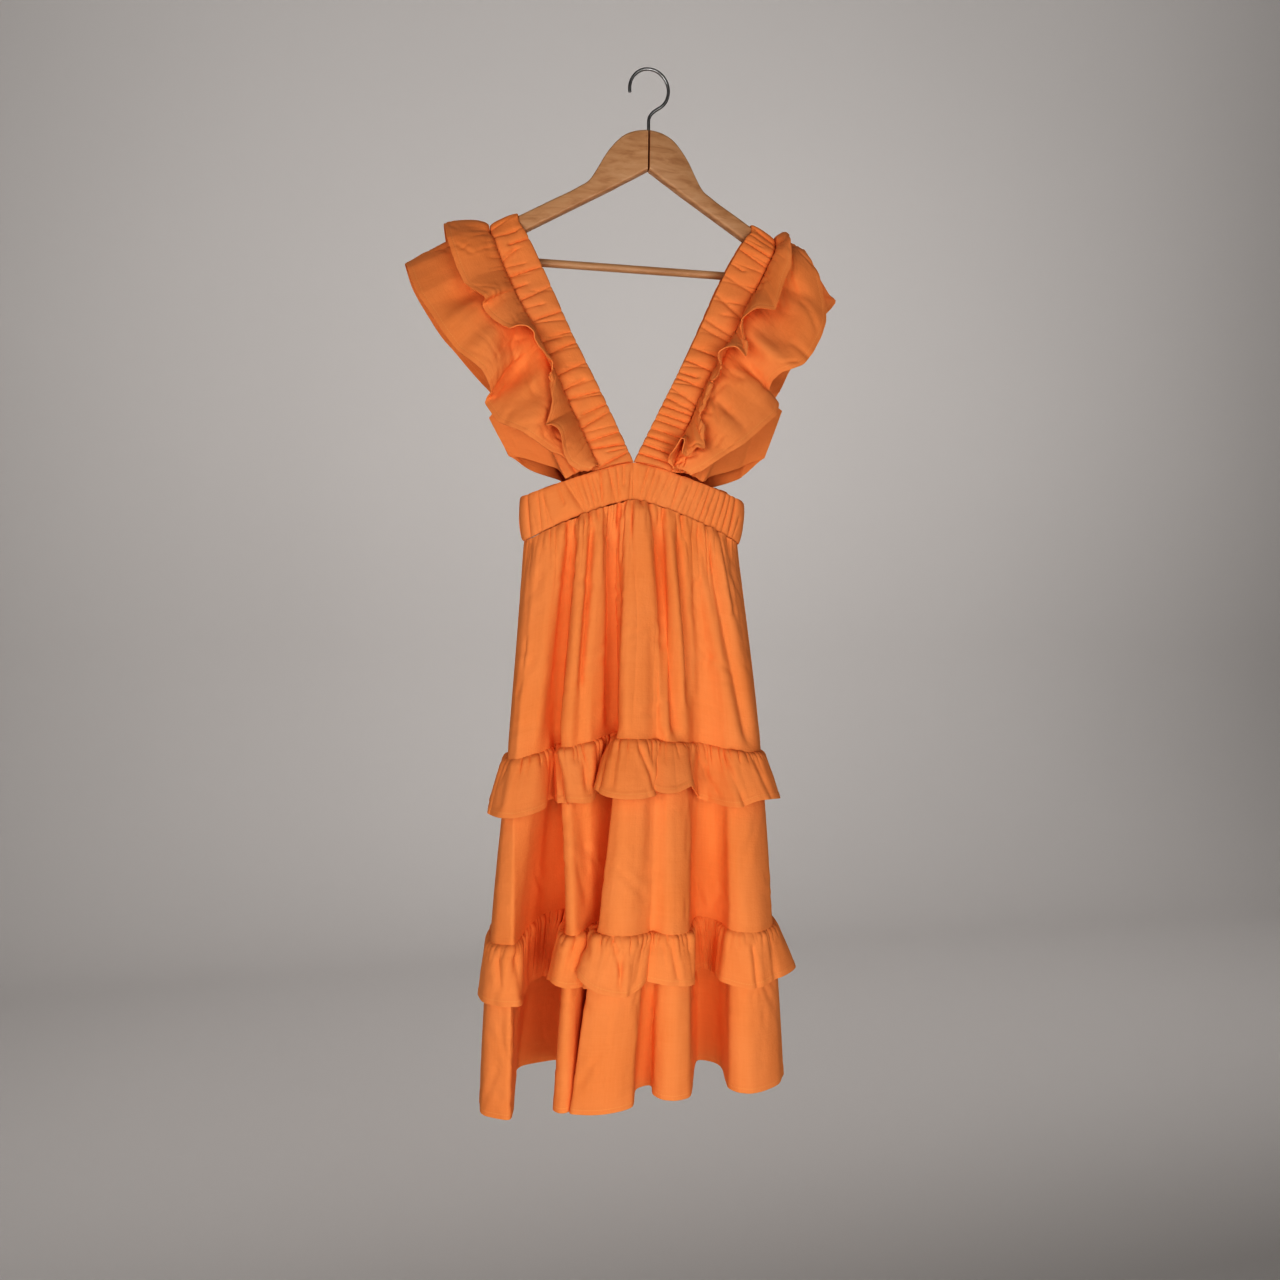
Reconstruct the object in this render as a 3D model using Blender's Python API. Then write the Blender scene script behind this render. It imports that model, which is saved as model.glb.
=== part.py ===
"""A ruffled midi dress hanging on a two-arm hanger.

Units are metres. X runs along the hanger, -Y is the front of the dress and +Z is up.
The origin is the inside of the hook's crown, where the hanger is held up.
Tables are in millimetres, with named columns. MM turns them into metres.
"""

import math

import bmesh
import bpy
import numpy as np

MM = 0.001

# Cloth and seams
CLOTH = 1.2 * MM
CASING = 3.0 * MM
SEAM = 0.4 * MM

# Hanger
HOOK_WIRE = 1.9 * MM
HOOK_RADIUS = 24.0 * MM
HOOK_TIP_ANGLE = math.radians(192)
HOOK_TURN_ANGLE = math.radians(-58)
WOOD_TOP = -70.0 * MM
ARM_SWEEP = math.radians(10.15)
ARM_HALF_THICK = 6.0 * MM
ARM_EDGE_ROUND = 3.5 * MM
BAR_RADIUS = 4.8 * MM
BAR_HEIGHT = -225.0 * MM
LOBE_START = 196.0 * MM

# Waistband, as an oval seen from above
WAIST_CENTRE = -12.5 * MM
WAIST_HALF_WIDTH = 139.0 * MM
WAIST_HALF_DEPTH = 36.0 * MM
WAIST_SQUARENESS = 2.4
BAND_TOP_PEAK = -473.0 * MM
BAND_TOP_FALL = 43.0 * MM
BAND_FOOT_PEAK = -518.0 * MM
BAND_FOOT_FALL = 53.0 * MM
BAND_TAPER = 3.0 * MM
FRONT_PEAK = -20.0 * MM
BACK_PEAK = -6.0 * MM
BAND_GATHERS = 15
BAND_RIDGE = 2.2 * MM

# Straps
STRAP_GATHERS_FRONT = 15
STRAP_FRONT_SAMPLES = 54
STRAP_RIDGE = 1.8 * MM
STRAP_SMOOTH_CROWN = 0.035
STRAP_SMOOTH_FOOT = 0.02
STRAP_FOOT_GAP = 0.55 * MM
BACK_STRAP_SHIFT = 14.0 * MM
OVER_ARM_CLEARANCE = 1.4 * MM

# Skirt seams: the height at the peak, the fall to each side, and where the peak is
TIER_ONE = (-807.0 * MM, 38.0 * MM, -28.0 * MM)
TIER_TWO = (-1036.0 * MM, 23.0 * MM, -45.0 * MM)
HEM = (-1254.0 * MM, 15.0 * MM, -20.0 * MM)
SEAM_FALL_POWER = 1.25
WAIST_FOLD = 2.5 * MM
WAIST_GATHER = 2.0 * MM
WAIST_GATHER_REACH = 70.0 * MM
WAIST_GATHER_COUNT = 12
FOLD_FULLNESS = 0.95
SAMPLE_STEP = 22.0 * MM
LEAST_SAMPLES = 2
MOST_SAMPLES = 5

# Skirt ruffles
RUFFLE_DROP = 63.0 * MM
RUFFLE_FORWARD = 17.0 * MM
RUFFLE_SIDEWAYS = {1: (15.0 * MM, 15.0 * MM), 2: (5.0 * MM, 21.0 * MM)}
WIDE_RECESS = 90.0 * MM
RECESS_HOLD = 0.85
LEAST_ROOM = 0.2
NEXT_ROOM = 0.2
RUFFLE_STAND = 4.5 * MM
RUFFLE_WAVE = 2.0 * MM
RUFFLE_WAVES = 12

CREST, TROUGH, SIDE = 1, -1, 0

# Front folds, from the left side seam to the right one
# Columns: kind, waist x, tier 1 x, tier 1 y, tier 2 x, tier 2 y, hem x, hem y
FRONT_FOLDS = (
    (SIDE, -148, -168, -8, -190, -26, -204, -36),
    (CREST, -136, -159, -36, -186, -60, -196, -72),
    (CREST, -120, -146, -46, -175, -76, -177, -88),
    (TROUGH, -106, -122, -16, -150, -10, -149, 16),
    (TROUGH, -94, -102, -14, -112, 0, -117, 14),
    (CREST, -78, -88, -44, -99, -72, -107, -92),
    (CREST, -66, -76, -48, -89, -74, -100, -97),
    (TROUGH, -34, -54, -22, -74, -52, -90, -72),
    (CREST, -18, -34, -60, -58, -84, -79, -105),
    (CREST, -2, -8, -66, -22, -92, -30, -113),
    (TROUGH, 10, 8, -58, 2, -80, 4, -54),
    (CREST, 22, 24, -62, 20, -92, 23, -98),
    (CREST, 34, 40, -56, 40, -88, 44, -102),
    (TROUGH, 48, 58, -36, 60, -44, 64, -14),
    (TROUGH, 66, 82, -32, 88, -42, 96, -26),
    (CREST, 82, 104, -48, 104, -86, 115, -98),
    (CREST, 102, 134, -44, 144, -78, 158, -88),
    (SIDE, 123, 159, -8, 173, -28, 192, -38),
)
BACK_FOLDS = (
    (SIDE, -148, -168, -8, -190, -26, -204, -36),
    (CREST, -118, -138, 34, -150, 48, -152, 60),
    (TROUGH, -88, -100, 22, -102, 34, -100, 40),
    (CREST, -58, -62, 44, -58, 58, -54, 72),
    (TROUGH, -28, -26, 28, -20, 36, -14, 40),
    (CREST, 4, 12, 46, 22, 60, 28, 76),
    (TROUGH, 34, 48, 26, 62, 34, 68, 38),
    (CREST, 64, 80, 40, 98, 52, 106, 62),
    (TROUGH, 92, 112, 20, 132, 22, 144, 26),
    (SIDE, 123, 159, -8, 173, -28, 192, -38),
)

# Shoulder straps, from the waistband up to just under the hanger's arm
# Columns: part of the way along, inner edge x and z, outer edge x and z, front y, back y
STRAPS = {
    "left": (
        (0.00, -20.3, -473, -62, -484, -36, 36),
        (0.13, -56, -396, -99, -404, -25, 38),
        (0.26, -95, -315, -140, -316, -9, 41),
        (0.38, -129, -235, -172, -246, 10, 43),
        (0.45, -149, -194, -186, -208, 16, 43),
    ),
    "right": (
        (0.00, -19.7, -473, 27, -483, -36, 36),
        (0.13, 17, -401, 59, -404, -25, 38),
        (0.26, 60, -318, 106, -318, -9, 41),
        (0.38, 107, -221, 151, -232, 6, 43),
        (0.45, 132, -181, 168, -197, 12, 43),
    ),
}
# The strap over the arm: part of the way along, reach across in half thicknesses, rise over the arm's top
CROWN = (
    (0.475, -1.0, -8.0 * MM),
    (0.489, -0.72, -1.2 * MM),
    (0.5, 0.0, 0.6 * MM),
    (0.511, 0.72, -1.2 * MM),
    (0.525, 1.0, -8.0 * MM),
)
SHOULDER = {"left": (-156 * MM, -189 * MM), "right": (139 * MM, 172 * MM)}

# Free edges of the wide shoulder ruffles, from the front waist over the arm to the back waist
# Columns: part of the way along, x, y, z
WIDE_EDGES = {
    "left": (
        (0.00, -98, -42, -484),
        (0.06, -126, -48, -456),
        (0.12, -154, -44, -446),
        (0.18, -189, -28, -426),
        (0.22, -200, -24, -408),
        (0.26, -200, -38, -400),
        (0.31, -222, -28, -376),
        (0.36, -246, -14, -352),
        (0.41, -262, 0, -320),
        (0.46, -278, 26, -276),
        (0.50, -288, 52, -236),
        (0.54, -290, 74, -266),
        (0.59, -276, 84, -304),
        (0.65, -250, 74, -340),
        (0.71, -222, 86, -372),
        (0.78, -196, 72, -398),
        (0.86, -160, 76, -428),
        (0.93, -118, 62, -452),
        (1.00, -82, 46, -480),
    ),
    "right": (
        (0.00, 64, -42, -484),
        (0.06, 98, -48, -464),
        (0.12, 130, -44, -440),
        (0.17, 150, -38, -428),
        (0.22, 162, -28, -402),
        (0.26, 160, -14, -380),
        (0.30, 176, -34, -362),
        (0.35, 194, -24, -352),
        (0.40, 212, -4, -326),
        (0.45, 232, 16, -276),
        (0.50, 230, 46, -206),
        (0.54, 250, 62, -216),
        (0.58, 272, 72, -246),
        (0.63, 258, 82, -286),
        (0.69, 232, 78, -326),
        (0.76, 208, 66, -352),
        (0.83, 184, 72, -398),
        (0.91, 140, 64, -440),
        (1.00, 88, 46, -480),
    ),
}

# Free edges of the narrow ruffles: stand is how far the edge stands off the wide ruffle below it
# Columns: part of the way along, x, z, stand
NARROW_EDGES = {
    "left": (
        (0.00, -84, -476, 8),
        (0.05, -100, -460, 14),
        (0.10, -108, -440, 12),
        (0.13, -122, -430, 19),
        (0.17, -120, -406, 15),
        (0.20, -121, -382, 15),
        (0.23, -124, -358, 15),
        (0.27, -132, -338, 22),
        (0.30, -146, -318, 26),
        (0.33, -166, -316, 12),
        (0.36, -182, -306, 11),
        (0.39, -200, -284, 20),
        (0.43, -225, -256, 12),
        (0.46, -236, -224, 14),
        (0.50, -244, -190, 20),
        (0.54, -240, -222, 14),
        (0.60, -220, -262, 12),
        (0.67, -186, -300, 18),
        (0.75, -146, -348, 11),
        (0.84, -112, -396, 16),
        (0.92, -84, -438, 12),
        (1.00, -58, -476, 8),
    ),
    "right": (
        (0.00, 52, -474, 8),
        (0.04, 66, -458, 12),
        (0.09, 71, -434, 18),
        (0.14, 82, -400, 10),
        (0.18, 90, -372, 18),
        (0.22, 104, -352, 22),
        (0.26, 124, -336, 10),
        (0.29, 126, -308, 18),
        (0.32, 130, -288, 24),
        (0.36, 156, -274, 22),
        (0.40, 172, -258, 12),
        (0.45, 186, -214, 12),
        (0.50, 192, -166, 12),
        (0.55, 202, -204, 12),
        (0.62, 190, -252, 16),
        (0.70, 156, -306, 12),
        (0.80, 116, -366, 16),
        (0.90, 86, -424, 11),
        (1.00, 62, -476, 8),
    ),
}
WIDE_BULGE = 9.0 * MM
RUFFLE_LAYER = 1.9 * MM
RUFFLE_ASIDE = 1.3 * MM
NARROW_RISE = 0.9
RUFFLE_SAMPLES = 17
RUFFLE_CROWN_SAMPLES = 7

# Bodice sides: the side seam under the arm, and where the panels leave strap and waistband
SIDE_SEAM_X = {"left": (-191 * MM, -168 * MM), "right": (184 * MM, 160 * MM)}
SIDE_SEAM_Z = {"left": (-420 * MM, -466 * MM), "right": (-396 * MM, -458 * MM)}
SIDE_SEAM_Y = (14 * MM, 6 * MM)
BODICE_LEAVES_STRAP = 0.24
BODICE_ON_BAND = {"left": -103 * MM, "right": 70 * MM}
BODICE_BAND_PART = 0.45
BODICE_FOOT_SPREAD = 0.62
BODICE_FOOT_RISE = {"left": 0.25, "right": 0.5}
BODICE_SAG = 8.0 * MM

# Finishes: name, colour, roughness, metallic
LINEN = ("orange linen", (0.80, 0.235, 0.048), 0.85, 0.0)
WOOD = ("oiled wood", (0.45, 0.24, 0.11), 0.45, 0.0)
STEEL = ("steel wire", (0.55, 0.56, 0.58), 0.3, 1.0)


def clear_scene():
    for obj in list(bpy.data.objects):
        bpy.data.objects.remove(obj, do_unlink=True)


def material(name, colour, roughness, metallic):
    made = bpy.data.materials.new(name)
    made.use_nodes = True
    shader = made.node_tree.nodes["Principled BSDF"]
    shader.inputs["Base Color"].default_value = (*colour, 1.0)
    shader.inputs["Roughness"].default_value = roughness
    shader.inputs["Metallic"].default_value = metallic
    return made


def add_object(name, vertices, faces, finish):
    mesh = bpy.data.meshes.new(name)
    mesh.from_pydata([tuple(point) for point in vertices], [], faces)
    mesh.materials.append(material(f"{name} {finish[0]}", *finish[1:]))
    work = bmesh.new()
    work.from_mesh(mesh)
    bmesh.ops.recalc_face_normals(work, faces=work.faces)
    work.to_mesh(mesh)
    work.free()
    mesh.shade_smooth()
    obj = bpy.data.objects.new(name, mesh)
    bpy.context.scene.collection.objects.link(obj)
    return obj


def unit(vectors):
    return vectors / np.linalg.norm(vectors, axis=-1, keepdims=True)


def along(stations, values, wanted):
    """A smooth curve through values at rising stations, read at the wanted ones."""
    stations = np.asarray(stations, float)
    values = np.asarray(values, float)
    wanted = np.asarray(wanted, float)
    slopes = np.gradient(values, stations, axis=0)
    index = np.clip(np.searchsorted(stations, wanted, side="right") - 1, 0, len(stations) - 2)
    step = stations[index + 1] - stations[index]
    t = (wanted - stations[index]) / step
    shape = t.shape + (1,) * (values.ndim - 1)
    t = t.reshape(shape)
    step = step.reshape(shape)
    return (
        values[index] * (2 * t**3 - 3 * t**2 + 1)
        + slopes[index] * step * (t**3 - 2 * t**2 + t)
        + values[index + 1] * (3 * t**2 - 2 * t**3)
        + slopes[index + 1] * step * (t**3 - t**2)
    )


def uneven(u, count, shift):
    """Between 0 and 1, count times along u, with uneven spacing."""
    drift = 0.32 * np.sin(2 * np.pi * (1.7 * u + shift)) + 0.18 * np.sin(2 * np.pi * (4.3 * u + 2 * shift))
    return 0.5 + 0.5 * np.sin(2 * np.pi * (count * u + drift))


def grid_directions(grid, axis):
    """The way a grid of points runs along one axis, halfway between the steps on either side of each point."""
    lines = np.moveaxis(grid, axis, 0)
    steps = unit(np.diff(lines, axis=0))
    made = np.concatenate([steps[:1], steps[:-1] + steps[1:], steps[-1:]])
    return np.moveaxis(made, 0, axis)


def grid_normals(grid, hint):
    """Unit normals of a grid of points, on the side that hint points to at the first row's middle."""
    normals = unit(np.cross(grid_directions(grid, 1), grid_directions(grid, 0)))
    if np.dot(normals[0, grid.shape[1] // 2], hint) < 0:
        normals = -normals
    return normals


def sheet_solid(name, inner, outer, finish):
    """A closed wall between two grids of points with the same rows and columns.

    Both sides split each cell along the same diagonal, so that a thin wall never crosses itself.
    """
    rows, columns = inner.shape[:2]
    count = rows * columns
    flat = inner.reshape(-1, 3)
    vertices = np.concatenate([flat, outer.reshape(-1, 3)])
    faces = []
    for row in range(rows - 1):
        for column in range(columns - 1):
            a = row * columns + column
            corners = (a, a + 1, a + columns + 1, a + columns)
            falling = np.linalg.norm(flat[corners[0]] - flat[corners[2]])
            rising = np.linalg.norm(flat[corners[1]] - flat[corners[3]])
            turn = 0 if falling < rising else 1
            b, c, d, e = corners[turn:] + corners[:turn]
            for triangle in ((b, c, d), (b, d, e)):
                faces.append(triangle)
                faces.append(tuple(count + corner for corner in reversed(triangle)))
    rim = list(range(columns))
    rim += [row * columns + columns - 1 for row in range(1, rows)]
    rim += [(rows - 1) * columns + column for column in range(columns - 2, -1, -1)]
    rim += [row * columns for row in range(rows - 2, 0, -1)]
    for this, following in zip(rim, rim[1:] + rim[:1]):
        faces.append((this, count + this, count + following, following))
    return add_object(name, vertices, faces, finish)


def cloth(name, grid, hint, finish, thickness=CLOTH, ridges=None):
    normals = grid_normals(grid, hint)
    height = thickness if ridges is None else thickness + ridges[..., None]
    return sheet_solid(name, grid, grid + normals * height, finish)


def trimmed(grid, trim=SEAM / 2):
    """The grid with its first and last columns pulled in, which leaves a seam's gap to its neighbour."""
    made = grid.copy()
    made[:, 0] += unit(grid[:, 1] - grid[:, 0]) * trim
    made[:, -1] += unit(grid[:, -2] - grid[:, -1]) * trim
    return made


# Hanger


def arm_profile():
    """Distance along the arm, top height and foot height, in metres."""
    rows = (
        (0.15, -70, -117),
        (8, -70.3, -121),
        (20, -72.5, -127.5),
        (31, -77.5, -133),
        (42, -87.5, -139),
        (52, -100, -144),
        (61, -115, -148.5),
        (70, -128.5, -153),
        (85, -138.5, -160.5),
        (115, -153.5, -175.5),
        (155, -173, -195.5),
        (185, -187.5, -210.5),
        (LOBE_START / MM - 0.6, -193, -216),
        (LOBE_START / MM, -193.3, -233),
        (207, -198.5, -236),
        (216, -205, -233),
        (221, -213, -226),
    )
    return np.array(rows) * MM


def arm_y(x):
    return abs(x) * math.tan(ARM_SWEEP)


def arm_top(x):
    rows = arm_profile()
    return float(np.interp(abs(x) / math.cos(ARM_SWEEP), rows[:, 0], rows[:, 1]))


def rounded_section(half_thick, half_high, corner):
    """Corner points of a rounded rectangle, across and up."""
    cut = min(corner, 0.45 * half_high)
    points = []
    for side_x, side_z, first in ((1, 1, 0), (-1, 1, 1), (-1, -1, 0), (1, -1, 1)):
        wide = (side_x * half_thick, side_z * (half_high - cut))
        mid = (side_x * (half_thick - 0.3 * cut), side_z * (half_high - 0.3 * cut))
        high = (side_x * (half_thick - cut), side_z * half_high)
        points += [high, mid, wide] if first else [wide, mid, high]
    return points


def hanger_arm(side, finish):
    sign = -1 if side == "left" else 1
    rings = []
    for reach, top, foot in arm_profile():
        middle = (top + foot) / 2
        for across, up in rounded_section(ARM_HALF_THICK, (top - foot) / 2, ARM_EDGE_ROUND):
            x = sign * (reach * math.cos(ARM_SWEEP) - across * math.sin(ARM_SWEEP))
            y = reach * math.sin(ARM_SWEEP) + across * math.cos(ARM_SWEEP)
            x = sign * max(abs(x), 0.15 * MM) if sign * x > 0 else sign * 0.15 * MM
            rings.append((x, y, middle + up))
    sides = len(rings) // len(arm_profile())
    faces = [tuple(range(sides)), tuple(len(rings) - 1 - i for i in range(sides))]
    for ring in range(len(arm_profile()) - 1):
        for corner in range(sides):
            following = (corner + 1) % sides
            a, b = ring * sides + corner, ring * sides + following
            faces.append((a, b, b + sides, a + sides))
    add_object(f"hanger_arm_{side}", rings, faces, finish)


def hanger_bar(finish):
    """A round bar whose slanted ends face the arms' lobes."""
    sides = 14
    rings = []
    for sign in (-1, 1):
        for corner in range(sides):
            angle = 2 * math.pi * corner / sides
            y = LOBE_START * math.sin(ARM_SWEEP) + BAR_RADIUS * math.cos(angle)
            z = BAR_HEIGHT + BAR_RADIUS * math.sin(angle)
            reach = LOBE_START - 0.6 * MM - SEAM - y * math.sin(ARM_SWEEP)
            rings.append((sign * reach / math.cos(ARM_SWEEP), y, z))
    faces = [tuple(range(sides)), tuple(range(2 * sides - 1, sides - 1, -1))]
    for corner in range(sides):
        following = (corner + 1) % sides
        faces.append((corner, following, following + sides, corner + sides))
    add_object("hanger_bar", rings, faces, finish)


def hanger_hook(finish):
    centre = HOOK_WIRE - HOOK_RADIUS
    points = []
    for step in range(21):
        angle = HOOK_TIP_ANGLE + (HOOK_TURN_ANGLE - HOOK_TIP_ANGLE) * step / 20
        points.append((HOOK_RADIUS * math.cos(angle), centre + HOOK_RADIUS * math.sin(angle)))
    neck_x, neck_z = points[-1]
    shank_top = WOOD_TOP + 12 * MM
    for step in range(1, 6):
        t = step / 5
        ease = 1 - (1 - t) ** 2
        points.append((neck_x * (1 - ease), neck_z + (shank_top - neck_z) * t))
    points.append((0.0, WOOD_TOP + SEAM))
    curve = bpy.data.curves.new("hanger_hook", "CURVE")
    curve.dimensions = "3D"
    curve.bevel_depth = HOOK_WIRE
    curve.bevel_resolution = 2
    curve.use_fill_caps = True
    spline = curve.splines.new("POLY")
    spline.points.add(len(points) - 1)
    for index, (x, z) in enumerate(points):
        spline.points[index].co = (x, 0.0, z, 1.0)
    curve.materials.append(material(f"hanger_hook {finish[0]}", *finish[1:]))
    bpy.context.scene.collection.objects.link(bpy.data.objects.new("hanger_hook", curve))


# Waistband


def fall_from_peak(x, peak, left, right):
    """0 at the peak, rising to 1 at the left or the right side."""
    x = np.asarray(x, float)
    return np.where(x < peak, (peak - x) / (peak - left), (x - peak) / (right - peak)).clip(0, 1)


def band_heights(x, peak):
    """Top and foot of the waistband at x."""
    left = WAIST_CENTRE - WAIST_HALF_WIDTH
    right = WAIST_CENTRE + WAIST_HALF_WIDTH
    fall = fall_from_peak(x, peak, left, right)
    return BAND_TOP_PEAK - BAND_TOP_FALL * fall**1.25, BAND_FOOT_PEAK - BAND_FOOT_FALL * fall**1.35


def waist_y(x, half_width=WAIST_HALF_WIDTH):
    """How far the waist's oval reaches forward or back at x, always positive."""
    part = np.abs((np.asarray(x, float) - WAIST_CENTRE) / half_width).clip(0, 1)
    return WAIST_HALF_DEPTH * (1 - part**WAIST_SQUARENESS) ** (1 / WAIST_SQUARENESS)


def waistband(side, facing, peak, finish):
    columns = BAND_GATHERS * 4 + 1
    u = np.linspace(0, 1, columns)
    angle = np.pi * (1 - u)
    power = 2 / WAIST_SQUARENESS
    cosine, sine = np.cos(angle), np.sin(angle).clip(0, 1)
    rows = []
    ridges = []
    for down in np.linspace(0, 1, 4):
        half_width = WAIST_HALF_WIDTH - BAND_TAPER * down
        x = WAIST_CENTRE + half_width * np.sign(cosine) * np.abs(cosine) ** power
        y = facing * WAIST_HALF_DEPTH * sine**power
        top, foot = band_heights(x, peak)
        rows.append(np.stack([x, y, top + (foot - top) * down], axis=1))
        slant = 0.16 * (down - 0.5) * np.sin(2 * np.pi * (1.3 * u + 0.2))
        puff = math.sin(math.pi * (0.12 + 0.76 * down))
        ridges.append(BAND_RIDGE * puff * uneven(u + slant / 4, BAND_GATHERS, 0.3 if facing < 0 else 0.7))
    grid = trimmed(np.array(rows))
    cloth(f"waistband_{side}", grid, (0, facing, 0), finish, CASING, np.array(ridges))


# Skirt


def seam_height(seam, x):
    peak_height, fall, peak_x = seam
    part = fall_from_peak(x, peak_x, FRONT_FOLDS[0][6] * MM, FRONT_FOLDS[-1][6] * MM)
    return peak_height - fall * part**SEAM_FALL_POWER


def fold_points(folds, facing, level):
    """Plan positions of the folds' crests and troughs at a level: 0 waist, 1 and 2 tiers, 3 hem."""
    table = np.array(folds, float)
    waist_x = table[:, 1] * MM
    waist = facing * (waist_y(waist_x, WAIST_HALF_WIDTH - BAND_TAPER) + WAIST_FOLD * table[:, 0])
    waist[[0, -1]] = 0
    across = np.stack([waist_x, *(table[:, [2, 4, 6]].T * MM)])
    forward = np.stack([waist, *(table[:, [3, 5, 7]].T * MM)])
    levels = np.arange(4)
    wanted = np.array([level])
    return np.stack([along(levels, across, wanted)[0], along(levels, forward, wanted)[0]], axis=1)


def fold_line(points, facing, u):
    """A plan curve through crests and troughs, with full rounded folds."""
    tangents = np.zeros_like(points)
    tangents[1:-1] = unit(points[2:] - points[:-2])
    tangents[0] = (0, facing)
    tangents[-1] = (0, -facing)
    index = np.clip(u.astype(int), 0, len(points) - 2)
    t = (u - index)[:, None]
    first, second = points[index], points[index + 1]
    pull = FOLD_FULLNESS * np.linalg.norm(second - first, axis=1, keepdims=True)
    return (
        first * (2 * t**3 - 3 * t**2 + 1)
        + tangents[index] * pull * (t**3 - 2 * t**2 + t)
        + second * (3 * t**2 - 2 * t**3)
        + tangents[index + 1] * pull * (t**3 - t**2)
    )


def skirt_height(x, level, peak):
    waist = band_heights(x, peak)[1] - 1.6 * SEAM
    heights = (waist, seam_height(TIER_ONE, x), seam_height(TIER_TWO, x), seam_height(HEM, x))
    lower = min(int(level), 2)
    part = level - lower
    return heights[lower] * (1 - part) + heights[lower + 1] * part


def fold_samples(folds):
    """Places along a panel's folds, more of them where the cloth runs further."""
    table = np.array(folds, float)
    lengths = np.hypot(np.diff(table[:, 6]), np.diff(table[:, 7])) * MM
    counts = np.round(lengths / SAMPLE_STEP).clip(LEAST_SAMPLES, MOST_SAMPLES).astype(int)
    places = [np.linspace(fold, fold + 1, count, endpoint=False) for fold, count in enumerate(counts)]
    return np.append(np.concatenate(places), len(folds) - 1)


def skirt_grid(folds, facing, levels):
    u = fold_samples(folds)
    peak = FRONT_PEAK if facing < 0 else BACK_PEAK
    rows = []
    for level in levels:
        plan = fold_line(fold_points(folds, facing, level), facing, u)
        height = skirt_height(plan[:, 0], level, peak)
        rows.append(np.column_stack([plan, height]))
    return np.array(rows), u / (len(folds) - 1)


def skirt_section(name, folds, facing, between, rows, finish):
    """One panel of the skirt, between two seam levels."""
    first, last = between
    levels = np.linspace(first, last, rows + 1)
    grid, u = skirt_grid(folds, facing, levels)
    if first == 0:
        below = grid[0, :, 2] - grid[:, :, 2]
        fade = np.exp(-below / WAIST_GATHER_REACH)
        ends = np.sin(np.pi * u) ** 0.5
        wave = uneven(u, WAIST_GATHER_COUNT, 0.45 - 0.2 * facing) - 0.5
        normals = grid_normals(grid, (0, facing, 0))
        normals[..., 2] = 0
        grid = grid + normals * (2 * WAIST_GATHER * fade * ends * wave)[..., None]
    grid[0, :, 2] -= SEAM / 2
    if last < 3:
        grid[-1, :, 2] += SEAM / 2
    cloth(name, trimmed(grid), (0, facing, 0), finish)


def ruffle_push(folds, facing, seam_level, u):
    """How far the ruffle's foot is pushed out over each fold, as x and y, and the room that it has there.

    A ruffle follows a wide trough and bridges a narrow one, where there is no room for its waves.
    """
    kinds = np.array([row[0] for row in folds], float)
    x = np.array([row[2 * seam_level] for row in folds], float) * MM
    room = np.ones(len(folds))
    recess = ((x[2:] - x[:-2]) / WIDE_RECESS).clip(LEAST_ROOM, 1.0)
    room[1:-1] = np.where(kinds[1:-1] > 0, 1.0, recess)
    pushes = np.zeros((len(folds), 2))
    pushes[:, 1] = facing * RUFFLE_FORWARD * np.where(kinds > 0, 1.0, 1 - RECESS_HOLD * room)
    pushes[0] = (-RUFFLE_SIDEWAYS[seam_level][0], 0)
    pushes[-1] = (RUFFLE_SIDEWAYS[seam_level][1], 0)
    room[1:-1] = np.minimum(room[1:-1], np.minimum(room[2:], room[:-2]) + NEXT_ROOM)
    index = np.clip(u.astype(int), 0, len(folds) - 2)
    t = u - index
    ease = t * t * (3 - 2 * t)
    push = pushes[index] * (1 - ease)[:, None] + pushes[index + 1] * ease[:, None]
    return push, room[index] * (1 - ease) + room[index + 1] * ease


def tier_ruffle(name, folds, facing, seam_level, finish):
    """A gathered strip whose head is caught in a skirt seam and whose foot stands out."""
    rows = 4
    section = TIER_ONE[0] - TIER_TWO[0] if seam_level == 1 else TIER_TWO[0] - HEM[0]
    levels = seam_level + np.linspace(0, RUFFLE_DROP / section, rows)
    grid, u = skirt_grid(folds, facing, levels)
    push, room = ruffle_push(folds, facing, seam_level, u * (len(folds) - 1))
    down = np.linspace(0, 1, rows)[:, None]
    ends = np.sin(np.pi * u).clip(0, 1) ** 0.5
    wave = RUFFLE_WAVE * ends * (2 * uneven(u, RUFFLE_WAVES, 0.2 * seam_level) - 1) * room
    stand = CLOTH + SEAM + down * (RUFFLE_STAND * room + wave)
    grid = grid + grid_normals(grid, (0, facing, 0)) * stand[..., None]
    grid[:, :, :2] += (down**1.1)[..., None] * push
    cloth(name, trimmed(grid), (0, facing, 0), finish)


# Straps, bodice and shoulder ruffles


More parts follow.
